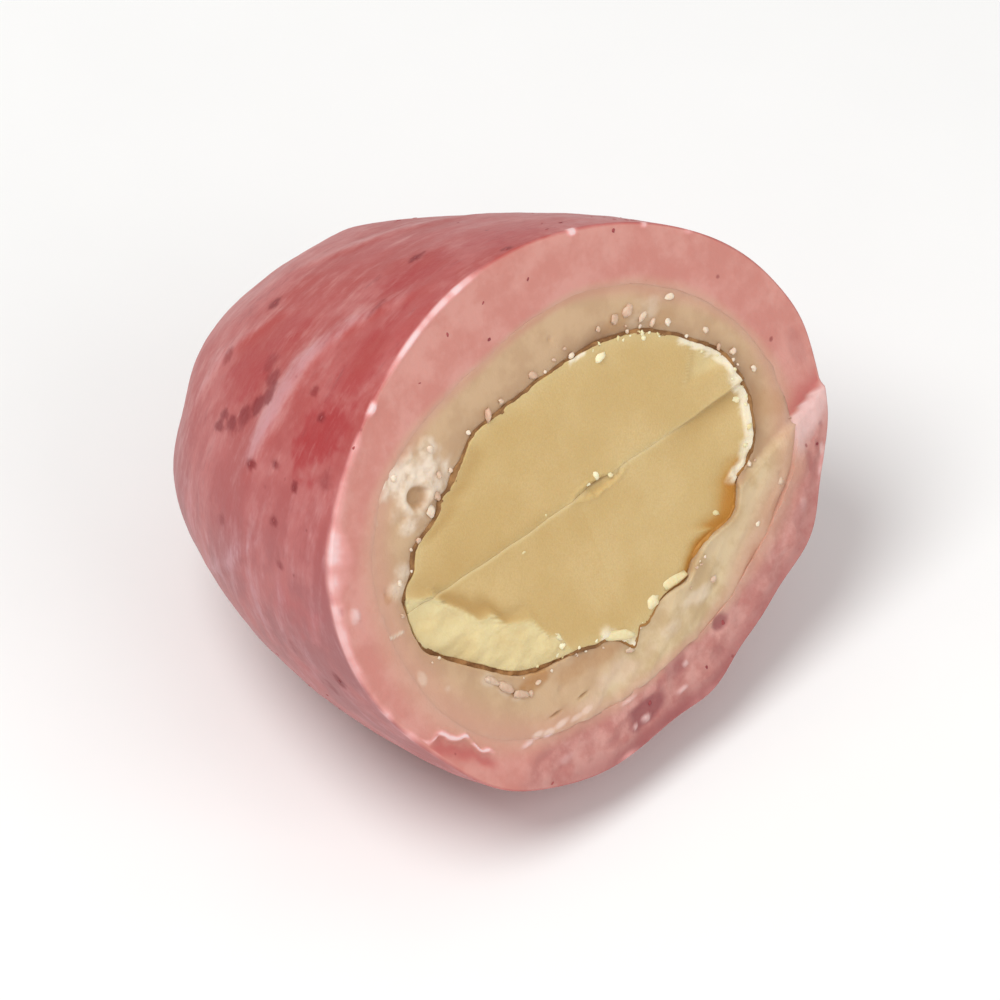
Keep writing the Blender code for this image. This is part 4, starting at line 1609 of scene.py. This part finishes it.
def makeSpecks():
    # flat fruit specks: those chosen on the outside, random ones on the side that doesn't show, and
    # those chosen on the cut, each turned at random in the surface it lies in
    draw = np.random.default_rng(31)
    chosen = np.array(crumbLook["outsideSpecks"])
    count = crumbLook["randomSpecks"]
    seen = np.radians(chosen[:, :2])
    around = np.radians(draw.uniform(190, 435, count))
    hidden = np.stack([around, np.arcsin(draw.uniform(0.03, 0.98, count))], -1)
    places = np.concatenate([seen, hidden])
    sizes = np.concatenate([chosen[:, 2], draw.uniform(0.06, 0.16, count)])
    start = np.radians(1.0)
    middle, facing = outsidePoint(places[:, 0], places[:, 1], start)
    chosen = np.array(crumbLook["faceSpecks"])
    onFace = flatPoints(chosen[:, 0], chosen[:, 1])
    onFace[:, 2] = coatFaceHeight(chosen[:, 0], chosen[:, 1])
    middle = np.concatenate([middle, onFace])
    facing = np.concatenate([facing, np.broadcast_to([0, 0, 1.0], onFace.shape)])
    sizes = np.concatenate([sizes, chosen[:, 2]])
    total = len(sizes)
    base, faces = ball(2)
    rough = 1 + uneven("specks", base[None] * 1.3 + draw.uniform(0, 60, (total, 1, 3)))
    shape = base[None] * rough[..., None] * (sizes[:, None, None] / 2)
    long = draw.uniform(0.8, 1.4, total)
    wide = draw.uniform(0.45, 0.8, total)
    shape = shape * np.stack([long, wide, np.full(total, 0.2)], -1)[:, None]
    spin = draw.uniform(0, math.tau, total)
    side = np.cross(facing, np.array([0.3, 0.2, 1.0]) + 0 * facing)
    flat = np.linalg.norm(side, axis=-1) < 0.4
    side = np.where(flat[:, None], np.cross(facing, [1.0, 0, 0]), side)
    side /= np.linalg.norm(side, axis=-1)[:, None]
    other = np.cross(facing, side)
    across = side * np.cos(spin)[:, None] + other * np.sin(spin)[:, None]
    upward = np.cross(facing, across)
    points = shape[..., :1] * across[:, None] + shape[..., 1:2] * upward[:, None]
    points = points + shape[..., 2:] * facing[:, None]
    mesh = joined("strawberrySpecks", points + middle[:, None], faces, {"tint": draw.uniform(0, 1, total)})
    paint = crumbPaint("strawberrySpecks", (142, 56, 60), (172, 78, 78))
    addPiece("strawberrySpecks", mesh, paint)


def crumbPaint(name, dark, light):
    # from the dark tone to the light one by each lump's own tint, with a fine mottle
    paint = Paint(name, {"Subsurface Weight": 0.15, "Subsurface Scale": 0.0005, "IOR": 1.45})
    fine = paint.clouds(paint.place, 0.12 * mm, 3, 0.6)
    colour = paint.blend(tone(*dark), tone(*light), (paint.trait("tint") * 0.7 + fine * 0.6).eased(0.3, 1.0))
    return paint.finish(
        Base_Color=colour,
        Roughness=0.5 + fine * 0.2,
        Normal=paint.relief(fine, 0.03 * mm, 0.6),
    )


# The floor, the light and the camera
studio = {
    "azimuth": math.radians(46.2),
    "elevation": math.radians(47),
    "lens": 600,
    "filled": 0.66,  # the share of the picture's width that the half takes
    "clip": (0.1, 20),  # the nearest and farthest that it sees, by its distance from the half
    "floorHalf": 0.6,  # half the floor's side, in metres
    "floorDrop": 0.00001,  # how far below the half it lies, so that the two don't touch
    "skyColour": (1.0, 0.995, 0.985, 1),
    "skyStrength": 0.5,
    # round lights, as (name, direction, distance, size, power in watts)
    "lights": (
        ("keyLight", (-0.05, -0.4, 0.9), 0.22, 0.12, 0.3),
        ("sideLight", (1.0, 0.1, 0.7), 0.25, 0.2, 0.16),
    ),
}


def makeFloor():
    # a near-white square just below the half
    mesh = bpy.data.meshes.new("floor")
    half = studio["floorHalf"]
    corners = [(-half, -half, 0), (half, -half, 0), (half, half, 0), (-half, half, 0)]
    mesh.from_pydata(corners, [], [(0, 1, 2, 3)])
    floor = bpy.data.objects.new("floor", mesh)
    floor.location.z = -studio["floorDrop"]
    bpy.context.scene.collection.objects.link(floor)
    paint = Paint("floor", {"Roughness": 0.7})
    grain = paint.clouds(paint.place, 6 * mm, 3, 0.5)
    colour = paint.blend(tone(243, 243, 242), tone(247, 247, 246), grain)
    mesh.materials.append(paint.finish(Base_Color=colour))


def addLight(name, direction, distance, size, power):
    # a disk of light in this direction from the solids' middle, facing it
    light = bpy.data.lights.new(name, "AREA")
    light.shape = "DISK"
    light.size = size
    light.energy = power
    lamp = bpy.data.objects.new(name, light)
    away = Vector(direction).normalized()
    lamp.location = (solidLow + solidHigh) / 2 + away * distance
    lamp.rotation_euler = away.to_track_quat("Z", "Y").to_euler()
    bpy.context.scene.collection.objects.link(lamp)


def makeLights():
    # an even pale sky and the lights
    world = bpy.data.worlds.new("studio")
    world.use_nodes = True
    back = world.node_tree.nodes["Background"]
    back.inputs["Color"].default_value = studio["skyColour"]
    back.inputs["Strength"].default_value = studio["skyStrength"]
    bpy.context.scene.world = world
    for light in studio["lights"]:
        addLight(*light)


def makeCamera():
    # looks at the middle of the dome's box, as seen by the camera, from so far that the half takes
    # its share of the picture's width
    azimuth, elevation = studio["azimuth"], studio["elevation"]
    back = Vector((
        math.sin(azimuth) * math.cos(elevation),
        -math.cos(azimuth) * math.cos(elevation),
        math.sin(elevation),
    ))
    turn = back.to_track_quat("Z", "Y")
    right, up = turn @ Vector((1, 0, 0)), turn @ Vector((0, 1, 0))
    angle = np.linspace(0, math.tau, 200)[None, :]
    share = np.linspace(0, math.pi / 2, 100)[:, None]
    points = toRow(plainOutside(angle, share)).reshape(-1, 3)
    across, upward, deep = points @ np.array(right), points @ np.array(up), points @ np.array(back)
    target = right * float(across.max() + across.min()) / 2 + up * float(upward.max() + upward.min()) / 2
    target += back * float(deep.max() + deep.min()) / 2
    data = bpy.data.cameras.new("camera")
    data.lens = studio["lens"]
    width = float(across.max() - across.min()) / studio["filled"]
    distance = width * data.lens / data.sensor_width
    camera = bpy.data.objects.new("camera", data)
    camera.location = target + back * distance
    camera.rotation_euler = turn.to_euler()
    data.clip_start, data.clip_end = (distance * share for share in studio["clip"])
    bpy.context.scene.collection.objects.link(camera)
    bpy.context.scene.camera = camera
    print("camera at", [round(value, 5) for value in camera.location], "distance", round(distance, 4))


makeCoat()
makeChocolate()
makeSkin()
makeLeaf("kernelUpper", 1, "kernel_upper")
makeLeaf("kernelLower", -1, "kernel_lower")
makeCrumbs()
makeSpecks()
makeFloor()
makeLights()
makeCamera()
bpy.context.scene.view_settings.view_transform = "Standard"
